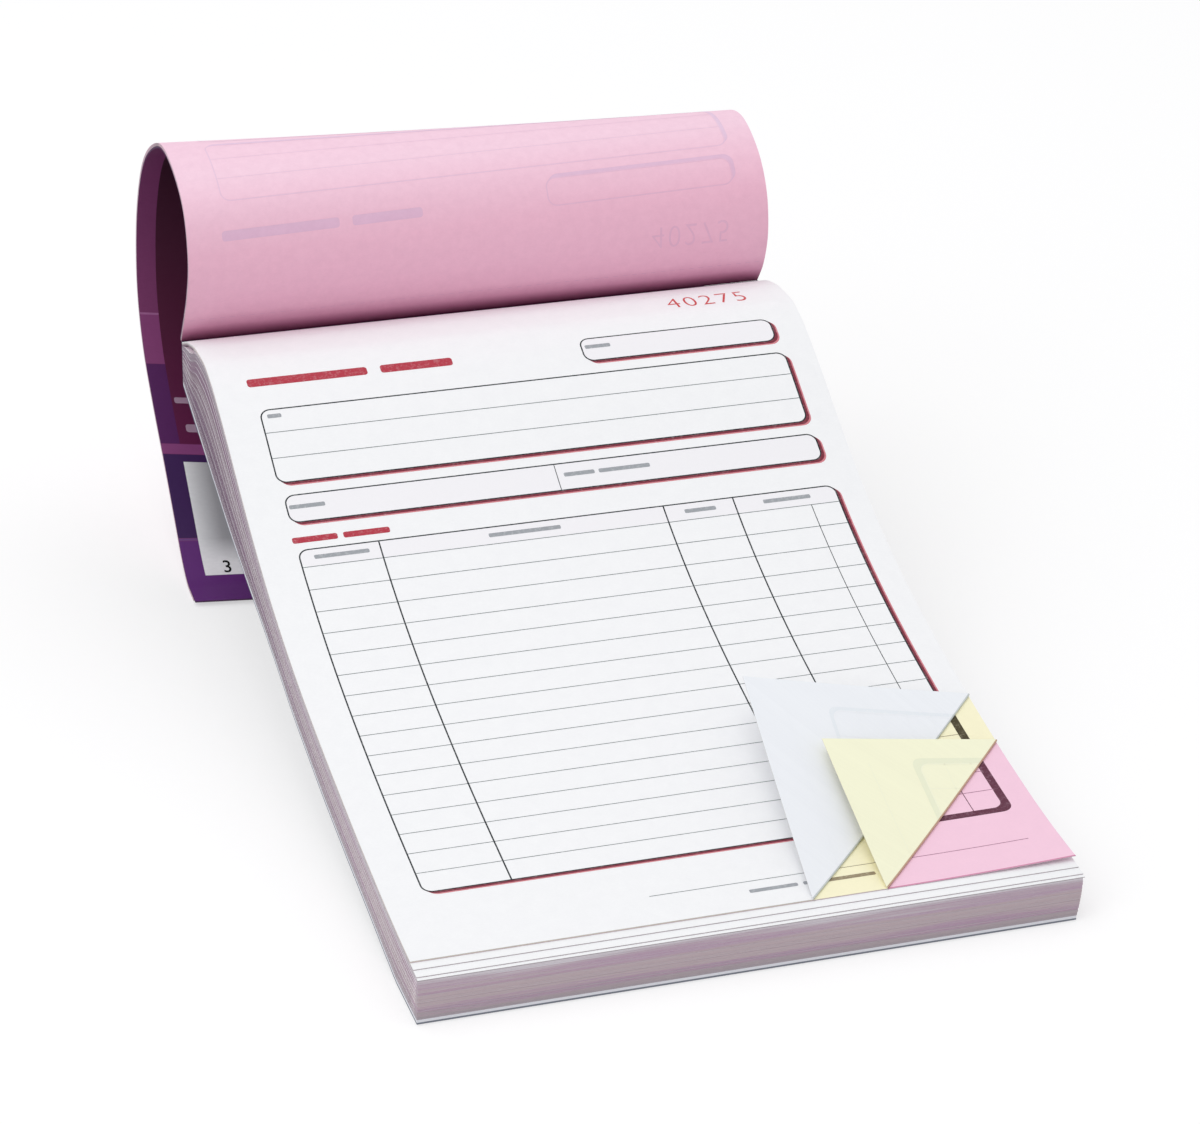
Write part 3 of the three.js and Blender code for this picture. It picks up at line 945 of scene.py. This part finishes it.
def cover_material():
    """Printed card: purple bands, a dark centre and a pale panel, with a satin finish; painted shade deep in
    the loop and on the panel by the pad, painted light at the panel's far end.
    """
    material, tree, surface = new_material("printed_cover")
    place = flat_place(tree)
    x, s, _ = axes_of(tree, place)

    def between(value, low, high):
        return use_group(tree, BETWEEN, {"Value": value, "Low": low, "High": high})["Mask"]

    def box(left, right, start, end):
        return math_node(tree, "MULTIPLY", between(x, left, right), between(s, start, end))

    # painted shade on the margins deep in the loop, near the bound edge, fading to their lit purple
    colour = mix_colours(tree, map_range(tree, s, COVER_PAINTED_SHADE_SPAN), *COVER_PURPLE_SHADED_AND_LIT)
    for low, high, shade in COVER_BANDS:
        colour = mix_colours(tree, between(s, low, high), colour, srgb(*shade))
    # the dark centre, deepened by painted shade towards the bound edge, deep in the loop
    centre_tone = colour_ramp(tree, map_range(tree, s, (0.0, COVER_CENTRE[1])), COVER_CENTRE_TONES_WITH_SHADE)
    colour = mix_colours(tree, box(-COVER_MARGIN, COVER_MARGIN, *COVER_CENTRE), colour, centre_tone)
    left, _, _, end = COVER_PANEL
    # painted shade from the pad over the panel, and painted light at its far end
    panel_tone = colour_ramp(tree, map_range(tree, x, (left, left + PANEL_SHADE)), PANEL_PAINTED_SHADE_TONES)
    lit = map_range(tree, s, [end - distance for distance in PANEL_LIGHT])
    panel_tone = mix_colours(tree, lit, panel_tone, PANEL_PAINTED_LIGHT)
    colour = mix_colours(tree, box(*COVER_PANEL), colour, panel_tone)
    grain = use_group(tree, PAPER_GRAIN, {"Coordinate": place, "Fibre Scale": 1500.0, "Cloud Scale": 60.0})
    cloudy = map_range(tree, grain["Tone"], span=(0.35, 0.65), result=(0.0, 0.08))
    set_surface(tree, surface, mix_colours(tree, cloudy, colour, COVER_CLOUD), roughness=0.5, specular=0.3)
    bump(tree, surface, grain["Height"], strength=0.15, distance=0.00003)
    return material


def tape_material():
    """The dark strip over the bound end, with a fine cloth-like grain."""
    material, tree, surface = new_material("binding_strip")
    grain = use_group(
        tree, PAPER_GRAIN, {"Coordinate": flat_place(tree), "Fibre Scale": 1800.0, "Cloud Scale": 200.0})
    set_surface(tree, surface, mix_colours(tree, grain["Tone"], *TAPE_TONES), roughness=0.55)
    bump(tree, surface, grain["Height"], strength=0.4, distance=0.00006)
    return material


WHITE_PAPER = paper("white_paper", WHITE)
WHITE_BACK = paper("white_paper_back", srgb(244, 247, 252))
YELLOW_PAPER = paper("yellow_paper", YELLOW)
YELLOW_BACK = paper("yellow_paper_back", srgb(252, 252, 222))
PINK_PAPER = paper("pink_paper", PINK)
PINK_BACK = paper("pink_paper_back", srgb(250, 206, 226))
# the used leaves: painted shade in the roll's crease, painted light on its top
ROLL_PAPER = roll_paper("used_leaf_paper", 0, ROLL_PAINTED_LIGHT_REACH)
WHITE_EDGE = paper("white_leaf_edge", srgb(208, 206, 206))
YELLOW_EDGE = paper("yellow_leaf_edge", srgb(214, 208, 192))
PINK_EDGE = paper("pink_leaf_edge", srgb(206, 190, 198))
# the outer side of each fold's bend: painted shade of the bend, and on the yellow leaf also a worn crease
# line
WHITE_CREASE = paper("white_crease", srgb(206, 212, 212))
YELLOW_CREASE = paper("yellow_crease", srgb(200, 166, 142))
PAD_EDGES = pad_edge_material()
SET_EDGES = set_edge_material()
BOARD_EDGES = board_edge_material()
BOARD_FACE = paper("board_liner", srgb(205, 207, 214))
# the packs' tops, with painted shade at their foot
PAD_TOP = sheet_top_paper("pad_top_paper", WHITE)
COVER_FACE = cover_material()
COVER_EDGE = paper("cover_edge", srgb(84, 54, 88))
TAPE_FACE = tape_material()


def ink_set(sheet, under, colours):
    """The inks of one sheet by use, from their colours and how much of the sheet shows in them."""
    return {
        use: ink(f"{use}_ink_on_{sheet}", srgb(*colour), under, gaps)
        for use, (colour, gaps) in colours.items()
    }


WHITE_INKS = ink_set("white", WHITE, {
    "tint": ((244, 243, 247), 0.1), "row": ((102, 112, 115), INK_GAPS), "line": ((32, 40, 45), 0.2),
    "shade": ((122, 44, 60), 0.1), "fringe": ((212, 128, 138), 0.2), "heading": ((180, 58, 74), 0.2),
    "label": ((158, 162, 168), INK_GAPS), "number": ((206, 76, 78), INK_GAPS),
})
COPY_INKS = {
    name: ink_set(name, under, {
        "row": (row, INK_GAPS), "line": (dark, INK_GAPS), "shade": (dark, 0.2), "fringe": (dark, 0.2),
        "heading": (dark, INK_GAPS), "label": (row, INK_GAPS), "number": ((196, 84, 84), INK_GAPS),
        # the edge ink is painted shade along a leaf's foot
        "edge": (edge, 0.05),
    })
    for name, row, dark, edge, under in (
        ("yellow", (150, 136, 110), (70, 62, 40), (204, 190, 140), YELLOW),
        ("pink", (160, 108, 136), (96, 48, 68), (212, 142, 174), PINK),
    )
}


def ghost_inks(light, heavy):
    """Print that shows through a sheet from its other side."""
    return {"row": light, "line": light, "shade": heavy, "fringe": heavy, "heading": heavy, "number": light}


turned_page = s_at(TEAR_LINE) + STUB  # where the page's foot would lie, measured back from the roll's crease
# the print showing through the roll takes the same painted shade and light
ghost_span = (turned_page, turned_page - ROLL_PAINTED_LIGHT_REACH)
ROLL_GHOST = ghost_inks(
    roll_paper("faint_print_roll", *ghost_span, (0.915, 0.935, 0.975, 1)),
    roll_paper("clear_print_roll", *ghost_span, (0.87, 0.92, 0.985, 1)))
WHITE_GHOST = ghost_inks(
    ink("faint_print_white_flap", srgb(241, 244, 249), WHITE, 0.5),
    ink("clear_print_white_flap", srgb(234, 239, 245), WHITE, 0.5))
YELLOW_GHOST = ghost_inks(
    ink("faint_print_yellow_flap", srgb(247, 248, 222), YELLOW, 0.3),
    ink("clear_print_yellow_flap", srgb(238, 241, 214), YELLOW, 0.3))
COVER_INKS = {
    "dark": ink("panel_digit", srgb(12, 10, 14), WHITE, 0.0),
    "pale": ink("cover_bars", srgb(170, 140, 164), PINK, 0.1),
}

# The pad: board, packs and stubs

def below(height, depth):
    return lambda y: height(y) - depth


depths = []
depth = 0.0
for thickness in (LEAF, LEAF, LEAF, SET, SET, SET):
    depths.append(depth)
    depth += thickness + LAYER_GAP
loose_depth = depth

sheet_piece(
    "board_sheet",
    layer(0, BOUND_END, below(underside, -BOARD), underside, 0, trimmed_edge(PACK_TRIM, 0)),
    [BOARD_FACE, BOARD_FACE, BOARD_EDGES], "pad", "backing_board",
)


def pack_level(share):
    """The height of the packs' cut at a share of the way from the board to the loose sets."""
    def height(y):
        floor = underside(y) + BOARD + LAYER_GAP
        roof = page(y) - loose_depth - bulge(y, UPPER_BULGE)
        sunk = bulge(y, LOWER_BULGE) if 0 < share < 1 else 0
        return floor + (roof - sunk - floor) * share
    return height


def make_pack_tree():
    """Fills a pack with its sets: copies of one flat set share its height, each a little in or out."""
    tree = bpy.data.node_groups.new("sets_of_a_pack", "GeometryNodeTree")
    for label, kind, side in (
        ("Set", "Geometry", "INPUT"), ("Sets", "Int", "INPUT"), ("Opening", "Float", "INPUT"),
        ("Spread", "Float", "INPUT"), ("Level Span", "Float", "INPUT"), ("Seed", "Int", "INPUT"),
        ("Top", "Material", "INPUT"), ("Bottom", "Material", "INPUT"), ("Cut Edges", "Material", "INPUT"),
        ("Pack", "Geometry", "OUTPUT"),
    ):
        tree.interface.new_socket(label, in_out=side, socket_type="NodeSocket" + kind)
    given = tree.nodes.new("NodeGroupInput").outputs

    def attribute(name, kind="FLOAT"):
        return add_node(
            tree, "GeometryNodeInputNamedAttribute", {"data_type": kind}, {"Name": name}).outputs[0]

    def stored(geometry, name, kind, domain, value):
        return add_node(
            tree, "GeometryNodeStoreNamedAttribute", {"data_type": kind, "domain": domain},
            {0: geometry, "Name": name, "Value": value}).outputs[0]

    def vector(operation, first, second):
        second_input = "Scale" if operation == "SCALE" else 1
        return add_node(
            tree, "ShaderNodeVectorMath", {"operation": operation},
            {0: first, second_input: second}).outputs[0]

    def combined(values):
        return add_node(tree, "ShaderNodeCombineXYZ", None, values).outputs[0]

    one = add_node(tree, "GeometryNodeGeometryToInstance", None, {0: given["Set"]}).outputs[0]
    copies = add_node(
        tree, "GeometryNodeDuplicateElements", {"domain": "INSTANCE"},
        {0: one, "Amount": given["Sets"]}).outputs
    numbered = stored(copies[0], "set_number", "INT", "INSTANCE", copies[1])
    real = add_node(tree, "GeometryNodeRealizeInstances", None, {0: numbered}).outputs[0]

    number = attribute("set_number", "INT")
    thickness = math_node(tree, "SUBTRACT", 1.0, given["Opening"])
    above_first = math_node(tree, "ADD", number, math_node(tree, "MULTIPLY", attribute("share"), thickness))
    total = math_node(tree, "SUBTRACT", given["Sets"], given["Opening"])
    height = math_node(tree, "DIVIDE", above_first, total)
    spread = add_node(tree, "FunctionNodeRandomValue", {"data_type": "FLOAT_VECTOR"}, {
        0: (-1, -1, 0), 1: (1, 1, 0), "ID": number, "Seed": given["Seed"],
    }).outputs[0]
    loose = combined({0: 1.0, 1: attribute("loose")})
    aside = vector("SCALE", vector("MULTIPLY", spread, loose), given["Spread"])
    offset = vector("ADD", vector("SCALE", attribute("rise", "FLOAT_VECTOR"), height), aside)
    moved = add_node(tree, "GeometryNodeSetPosition", None, {0: real, "Offset": offset}).outputs[0]

    raised = combined({2: math_node(tree, "MULTIPLY", height, given["Level Span"])})
    flat = vector("ADD", attribute("flat", "FLOAT_VECTOR"), raised)
    geometry = stored(moved, "flat", "FLOAT_VECTOR", "POINT", flat)
    for side, label in enumerate(("Top", "Bottom", "Cut Edges")):
        on_side = add_node(
            tree, "FunctionNodeCompare", {"data_type": "INT", "operation": "EQUAL"},
            {2: attribute("side", "INT"), 3: side})
        geometry = add_node(tree, "GeometryNodeSetMaterial", None, {
            0: geometry, "Selection": on_side.outputs[0], "Material": given[label],
        }).outputs[0]
    result = tree.nodes.new("NodeGroupOutput")
    tree.links.new(geometry, result.inputs[0])
    return tree


def pack_grid(level):
    """The cut across the pad at one level, with the same number of rows at each level."""
    foot = foot_of_pack(level)
    return layer_grid(
        foot, BOUND_END, pack_level(level), level, level, trimmed_edge(PACK_TRIM, level),
        (BOUND_END - foot) / PACK_ROWS)


def set_input(modifier, label, value):
    items = modifier.node_group.interface.items_tree
    socket = next(item for item in items if item.in_out == "INPUT" and item.name == label)
    modifier[socket.identifier] = value


def pack_piece(name, sets, number):
    """One pack of sets, made by the tree from a single flat set that lies on the pack's floor."""
    low, high = number / len(PACKS), (number + 1) / len(PACKS)
    floor_grid, roof_grid = pack_grid(low), pack_grid(high)
    start, rises, flats = [], [], []
    for floor_row, roof_row in zip(floor_grid, roof_grid):
        for (place, flat), (above, _) in zip(floor_row, roof_row):
            start.append(place)
            rises.extend(above - place)
            flats.extend(flat)
    half = len(start)
    groups = slab_faces(len(floor_grid), len(floor_grid[0]))
    mesh = bpy.data.meshes.new(name)
    mesh.from_pydata(start + start, [], [face for group in groups for face in group])
    looseness = [max(0, 1 - (place.y + FLAT_STRIP / 2) / BOUND_END) for place in start]
    for label, kind, domain, values in (
        ("rise", "FLOAT_VECTOR", "POINT", rises * 2),
        ("flat", "FLOAT_VECTOR", "POINT", flats * 2),
        ("share", "FLOAT", "POINT", [1.0] * half + [0.0] * half),
        ("loose", "FLOAT", "POINT", looseness * 2),
        ("side", "INT", "FACE", [side for side, group in enumerate(groups) for _ in group]),
    ):
        data = mesh.attributes.new(label, kind, domain).data
        data.foreach_set("vector" if kind == "FLOAT_VECTOR" else "value", values)
    holder = add_to_scene(name, mesh)
    stack = holder.modifiers.new("sets", "NODES")
    stack.node_group = PACK_TREE
    for label, value in (
        ("Sets", sets), ("Opening", SET_OPENING), ("Spread", SET_SPREAD), ("Level Span", high - low),
        ("Seed", number), ("Top", PAD_TOP), ("Bottom", PINK_PAPER), ("Cut Edges", PAD_EDGES),
    ):
        set_input(stack, label, value)
    depsgraph = bpy.context.evaluated_depsgraph_get()
    stacked = bpy.data.meshes.new_from_object(
        holder.evaluated_get(depsgraph), preserve_all_data_layers=True, depsgraph=depsgraph)
    bpy.data.objects.remove(holder)
    stacked.shade_smooth()
    stacked.set_sharp_from_angle(angle=SHARP_ANGLE)
    add_piece(name + "_stack", stacked, "pad", name)


PACK_TREE = make_pack_tree()
for k, (name, sets) in enumerate(PACKS.items()):
    pack_piece(name, sets, k)

sheet_piece(
    "stub_sheets", layer(TEAR_LINE + TEAR_GAP, BOUND_END, page, below(page, loose_depth - LAYER_GAP)),
    [WHITE_PAPER, PINK_PAPER, SET_EDGES], "pad", "loose_set_stubs",
)


def tape_grid(offset):
    """The binding strip's path: under the board, round its corner and up the bound end."""
    ys = evenly(BOUND_END - TAPE_LEG, BOUND_END, SHEET_STEP)
    path = [(y, underside(y) - LAYER_GAP - offset) for y in ys]
    outer = BOUND_END + LAYER_GAP + offset
    low, high = underside(BOUND_END) - offset, page(BOUND_END)
    path += [(outer, low + (high - low) * k / TAPE_ROWS) for k in range(TAPE_ROWS + 1)]
    return [[(placed(x, y, z), (x, y, 0)) for x in (HALF_WIDTH, -HALF_WIDTH)] for y, z in path]


sheet_piece(
    "binding_strip", (tape_grid(TAPE), tape_grid(0)), [TAPE_FACE] * 3, "pad", "binding_tape")

# Loose sets and the leaves of the top set

leaf_end = TEAR_LINE - TEAR_GAP
BODIES = {
    "white_leaf": "white_copy", "yellow_leaf": "yellow_copy", "pink_leaf": "pink_copy",
    "set_02": "second_set", "set_03": "third_set", "set_04": "fourth_set",
}


def on_page(down, curl=None):
    """Places flat points on the sheet that lies this far under the page."""
    def place(x, s, lift):
        y = y_along_page(s)
        raised = curl(x, y) if curl else 0
        return placed(x, y, page(y) - down(y) + lift + raised)
    return place


def form_piece(name, body, slot_name, place, inks, shift, inside=None, seen_from_back=False):
    """The printed form as a piece of its own on one face of a sheet."""
    form = Print(place, inks, inside, seen_from_back)
    draw_form(form, shift)
    form.piece(name, body, slot_name)


for k, (name, front) in enumerate(STEPPED_SETS.items()):
    depth = depths[3 + k]
    body = BODIES[name]
    top = below(page, depth)
    sheet_piece(
        name + "_leaves", layer(front, leaf_end, top, below(top, SET), 1, trimmed_edge(SET_TRIM, 1)),
        [WHITE_PAPER, PINK_PAPER, SET_EDGES], body, name,
    )
    form_piece("form_on_" + name, body, "set_paper", on_page(lambda y: depth), WHITE_INKS, SHADE_SHIFT)

on_pad = on_page(lambda y: loose_depth + bulge(y, UPPER_BULGE))
form_piece("form_on_pad", "pad", "set_paper", on_pad, WHITE_INKS, SHADE_SHIFT)


class Fold:
    """A corner folded up along a straight line and laid back over its leaf."""

    def __init__(self, name, top):
        sizes = FOLDS[name]
        self.foot, self.side, self.lean = sizes["foot"], sizes["side"], sizes["lean"]
        self.top = top
        self.slope = (HALF_WIDTH - self.foot) / (self.side - TOP_SET_FRONT)
        along = self.point(1) - self.point(0)
        self.length = along.length
        self.along = along.normalized()
        self.inward = Vector((0, -self.along.z, self.along.y)).cross(self.along).normalized()
        self.normal = self.along.cross(self.inward).normalized()
        turn = math.radians(sizes["rise"])
        self.lay = self.inward * math.cos(turn) + self.normal * math.sin(turn)
        self.face = self.normal * math.cos(turn) - self.inward * math.sin(turn)

    def edge(self, y):
        return self.foot + self.slope * (y - TOP_SET_FRONT) if y < self.side else HALF_WIDTH

    def point(self, share):
        """A point on the fold line, in the middle of the sheet."""
        y = TOP_SET_FRONT + (self.side - TOP_SET_FRONT) * share
        return placed(self.edge(y), y, self.top(y) - LEAF / 2)

    def flap(self, share, reach, side):
        """A point of the flap: share along the fold, reach from it, and side 1 for its upper face."""
        slide = self.along * (self.lean * reach / (self.length / 2))
        lifted = self.point(share) + self.normal * FOLD_HEIGHT
        return lifted + self.lay * reach + slide + self.face * (side * LEAF / 2)

    def inside(self, corner):
        """How far a flat point lies on the leaf's side of the fold."""
        return self.foot + self.slope * (y_along_page(corner.y) - TOP_SET_FRONT) - corner.x

    def outside(self, corner):
        return -self.inside(corner)

    def flat_place(self, side):
        """Places flat points that lie past the fold on the flap."""
        start = Vector((self.foot, 0))
        line = Vector((HALF_WIDTH, s_at(self.side))) - start

        def place(x, s, lift):
            offset = Vector((x, s)) - start
            share = offset.dot(line) / line.length_squared
            reach = (offset - line * share).length
            return self.flap(min(max(share, 0), 1), reach, side) + self.face * (lift * side)
        return place

    def row(self, share, side):
        """One face's points across the bend and the flap, at a share of the fold's length."""
        start = self.point(share)
        reach = self.length * min(share, 1 - share)
        places = []
        for k in range(BEND_STEPS):
            angle = math.pi * k / BEND_STEPS
            bulged = math.sin(angle) * (FOLD_BULGE + side * LEAF / 2)
            height = FOLD_HEIGHT / 2 - math.cos(angle) * (FOLD_HEIGHT / 2 + side * LEAF / 2)
            places.append(start - self.inward * bulged + self.normal * height)
        places += [self.flap(share, reach * k / FLAP_COLUMNS, side) for k in range(FLAP_COLUMNS + 1)]
        return [(place, (start.x, start.y, 1)) for place in places]

    def grids(self):
        """The flap and its bend as one slab."""
        shares = [i / (FLAP_ROWS - 1) for i in range(FLAP_ROWS)]
        return [[self.row(share, side) for share in shares] for side in (1, -1)]


folds = {}


def leaf_rows(edge):
    """Where a leaf of the top set has its rows, with one at the end of its fold."""
    ends = [fold.side for fold in folds.values() if fold.edge == edge]
    return sorted(set(evenly(TOP_SET_FRONT, leaf_end, SHEET_STEP) + ends))


def leaf_grid(height, level, edge):
    """A leaf of the top set, whose right edge follows its fold."""
    rows = []
    for y in leaf_rows(edge):
        xs = (left_edge(1)(y), edge(y))
        rows.append([(placed(x, y, height(y)), (x, s_at(y), level)) for x in xs])
    return rows


def corner_curl(x, y):
    """How far the lowest leaf's bare corner stands up, from nothing at the fold above it."""
    fold = folds["yellow_leaf"]
    past_fold = (x - fold.edge(y)) / (HALF_WIDTH - fold.foot) if y < fold.side else 0
    return CORNER_CURL * max(0, past_fold) ** 2


def curled_leaf_grid(height, level):
    """The lowest leaf, with columns for its curl past the fold above it."""
    fold_edge = folds["yellow_leaf"].edge
    rows = []
    for y in leaf_rows(fold_edge):
        start = min(fold_edge(y), HALF_WIDTH - SHEET_STEP)
        curled = [start + (HALF_WIDTH - start) * k / FLAP_COLUMNS for k in range(FLAP_COLUMNS + 1)]
        xs = [left_edge(1)(y)] + curled
        rows.append([(placed(x, y, height(y) + corner_curl(x, y)), (x, s_at(y), level)) for x in xs])
    return rows


def folded_leaf(name, slot_name, depth, inks, shift, materials, ghost):
    """A leaf with its folded corner, the form on both and the print that shows through the corner."""
    body = BODIES[name]
    top = below(page, depth)
    fold = Fold(name, top)
    folds[name] = fold
    grids = leaf_grid(top, 1, fold.edge), leaf_grid(below(top, LEAF), 0, fold.edge)
    face, back, rim, crease = materials
    sheet_piece(name + "_sheet", grids, (face, back, rim), body, name)
    form_piece("form_on_" + name, body, slot_name, on_page(lambda y: depth), inks, shift, fold.inside)
    sheet_piece(name + "_corner", fold.grids(), (back, face, rim, crease), body, name, BEND_STEPS)
    form_piece(
        "print_through_" + name, body, slot_name, fold.flat_place(1), ghost, shift, fold.outside,
        seen_from_back=True)
    form_piece(
        "form_on_corner_of_" + name, body, slot_name, fold.flat_place(-1), inks, shift, fold.outside)


def curled_leaf(name, slot_name, depth, inks, shift, materials):
    """The lowest leaf, whose bare corner curls up, with painted shade along its foot."""
    top = below(page, depth)
    grids = curled_leaf_grid(top, 1), curled_leaf_grid(below(top, LEAF), 0)
    sheet_piece(name + "_sheet", grids, materials, BODIES[name], name)
    form = Print(on_page(lambda y: depth, corner_curl), inks)
    draw_form(form, shift)
    # painted shade along the foot of the bare corner
    foot_points = evenly(folds["yellow_leaf"].foot, HALF_WIDTH, HALF_WIDTH / FLAP_COLUMNS / 2)
    for left, right in zip(foot_points, foot_points[1:]):
        form.bar(left, right, 0, FOOT_SHADE_LINE, "edge")
    form.piece("form_on_" + name, BODIES[name], slot_name)


folded_leaf(
    "white_leaf", "white_paper", depths[0], WHITE_INKS, SHADE_SHIFT,
    (WHITE_PAPER, WHITE_BACK, WHITE_EDGE, WHITE_CREASE), WHITE_GHOST)
folded_leaf(
    "yellow_leaf", "yellow_paper", depths[1], COPY_INKS["yellow"], COPY_SHADE_SHIFT,
    (YELLOW_PAPER, YELLOW_BACK, YELLOW_EDGE, YELLOW_CREASE), YELLOW_GHOST)
curled_leaf(
    "pink_leaf", "pink_paper", depths[2], COPY_INKS["pink"], COPY_SHADE_SHIFT,
    (PINK_PAPER, PINK_BACK, PINK_EDGE))

# The roll of used leaves and cover

def roll_grid(inset, level, end):
    """One face of a sheet of the roll, whose root reaches down behind the bound edge."""
    xs = [WIDTH * (j / ROLL_COLUMNS - 0.5) for j in range(ROLL_COLUMNS + 1)]
    rows = []
    for i in range(ROLL_STEPS + 1):
        s = end * i / ROLL_STEPS
        rows.append([(roll_place(x, s, inset), (x, s, level)) for x in xs])
    first_step = end / ROLL_STEPS
    root = [
        (place + (place - above) * (ROOT / first_step), flat)
        for (place, flat), (above, _) in zip(rows[0], rows[1])
    ]
    return [root] + rows


leaf_tail = roll_left.length - LEAF_SHORT
inset = 0.0
for name in USED_LEAVES:
    sheet_piece(
        name + "_sheet", (roll_grid(inset, 1, leaf_tail), roll_grid(inset + USED_LEAF, 0, leaf_tail)),
        [ROLL_PAPER, PINK_PAPER, PINK_EDGE], "turned_back", name,
    )
    inset += USED_LEAF + ROLL_GAP
sheet_piece(
    "cover_card", (roll_grid(inset, 1, roll_left.length), roll_grid(inset + COVER, 0, roll_left.length)),
    [COVER_FACE, COVER_FACE, COVER_EDGE], "turned_back", "front_cover",
)

roll_ghost = Print(
    lambda x, s, lift: roll_place(x, turned_page - s, -lift), ROLL_GHOST, seen_from_back=True)
draw_form(roll_ghost, SHADE_SHIFT)
for x in evenly(-HALF_WIDTH + DASH, HALF_WIDTH - DASH * 2, DASH * 2):
    roll_ghost.row(x, x + DASH, turned_page - DASHES_AT)
roll_ghost.piece("print_through_used_leaf", "turned_back", "pink_paper")

cover_print = Print(
    lambda x, up, lift: roll_place(x, roll_left.length - up, inset + COVER + lift), COVER_INKS)
for left, right, foot, top in COVER_BARS:
    cover_print.bar(left, right, foot, top, "pale", (top - foot) * BAR_ROUNDING)
cover_print.digits(
    PANEL_DIGIT, *PANEL_DIGIT_PLACE, PANEL_DIGIT_HEIGHT, 0, PANEL_DIGIT_THICKENING, "dark")
cover_print.piece("cover_marks", "turned_back", "cover_card")

# Stage, light and camera

def floor_material():
    """Bright to the eye, and a softer grey for the light that it throws back."""
    material, tree, surface = new_material("floor")
    seen = add_node(tree, "ShaderNodeLightPath").outputs["Is Camera Ray"]
    colour = mix_colours(tree, seen, FLOOR_TO_LIGHT, FLOOR_TO_CAMERA)
    set_surface(tree, surface, colour, roughness=0.9, specular=0.0)
    surface.inputs["Emission Color"].default_value = PURE_WHITE
    tree.links.new(math_node(tree, "MULTIPLY", seen, FLOOR_GLOW), surface.inputs["Emission Strength"])
    return material


def set_world():
    """White to the eye, and a softer light for everything else."""
    world = bpy.data.worlds.new("studio")
    world.use_nodes = True
    tree = world.node_tree
    rays = add_node(tree, "ShaderNodeLightPath").outputs
    seen = math_node(tree, "MAXIMUM", rays["Is Camera Ray"], rays["Is Glossy Ray"])
    seen = math_node(tree, "MAXIMUM", seen, rays["Is Transmission Ray"])
    strength = add_node(tree, "ShaderNodeMix", None, {0: seen, 2: AMBIENT, 3: 1.0})
    background = tree.nodes["Background"]
    background.inputs["Color"].default_value = PURE_WHITE
    tree.links.new(strength.outputs[0], background.inputs["Strength"])
    bpy.context.scene.world = world


def add_lamp(name, place, aim, size, power):
    lamp = bpy.data.lights.new(name, "AREA")
    lamp.shape = "SQUARE"
    lamp.size = size
    lamp.energy = power
    holder = add_to_scene(name, lamp)
    holder.location = place
    direction = Vector(aim) - Vector(place)
    holder.rotation_euler = direction.to_track_quat("-Z", "Y").to_euler()


def add_camera():
    data = bpy.data.cameras.new("camera")
    data.sensor_width = SENSOR_WIDTH
    data.lens = LENS
    data.clip_start = CLIP_START
    camera = add_to_scene("camera", data)
    axes = Matrix((CAMERA_RIGHT, CAMERA_UP, CAMERA_RIGHT.cross(CAMERA_UP))).transposed()
    camera.matrix_world = Matrix.Translation(CAMERA_PLACE) @ axes.to_4x4()
    bpy.context.scene.camera = camera


floor_mesh = bpy.data.meshes.new("floor")
floor_mesh.from_pydata(
    [(-FLOOR, -FLOOR, 0), (FLOOR, -FLOOR, 0), (FLOOR, FLOOR, 0), (-FLOOR, FLOOR, 0)], [], [(0, 1, 2, 3)])
floor_mesh.materials.append(floor_material())
floor = add_to_scene("floor", floor_mesh)
floor.location.z = -FLOOR_DROP
set_world()
for name, values in LAMPS.items():
    add_lamp(name, *values)
add_camera()
bpy.context.scene.view_settings.view_transform = "Standard"
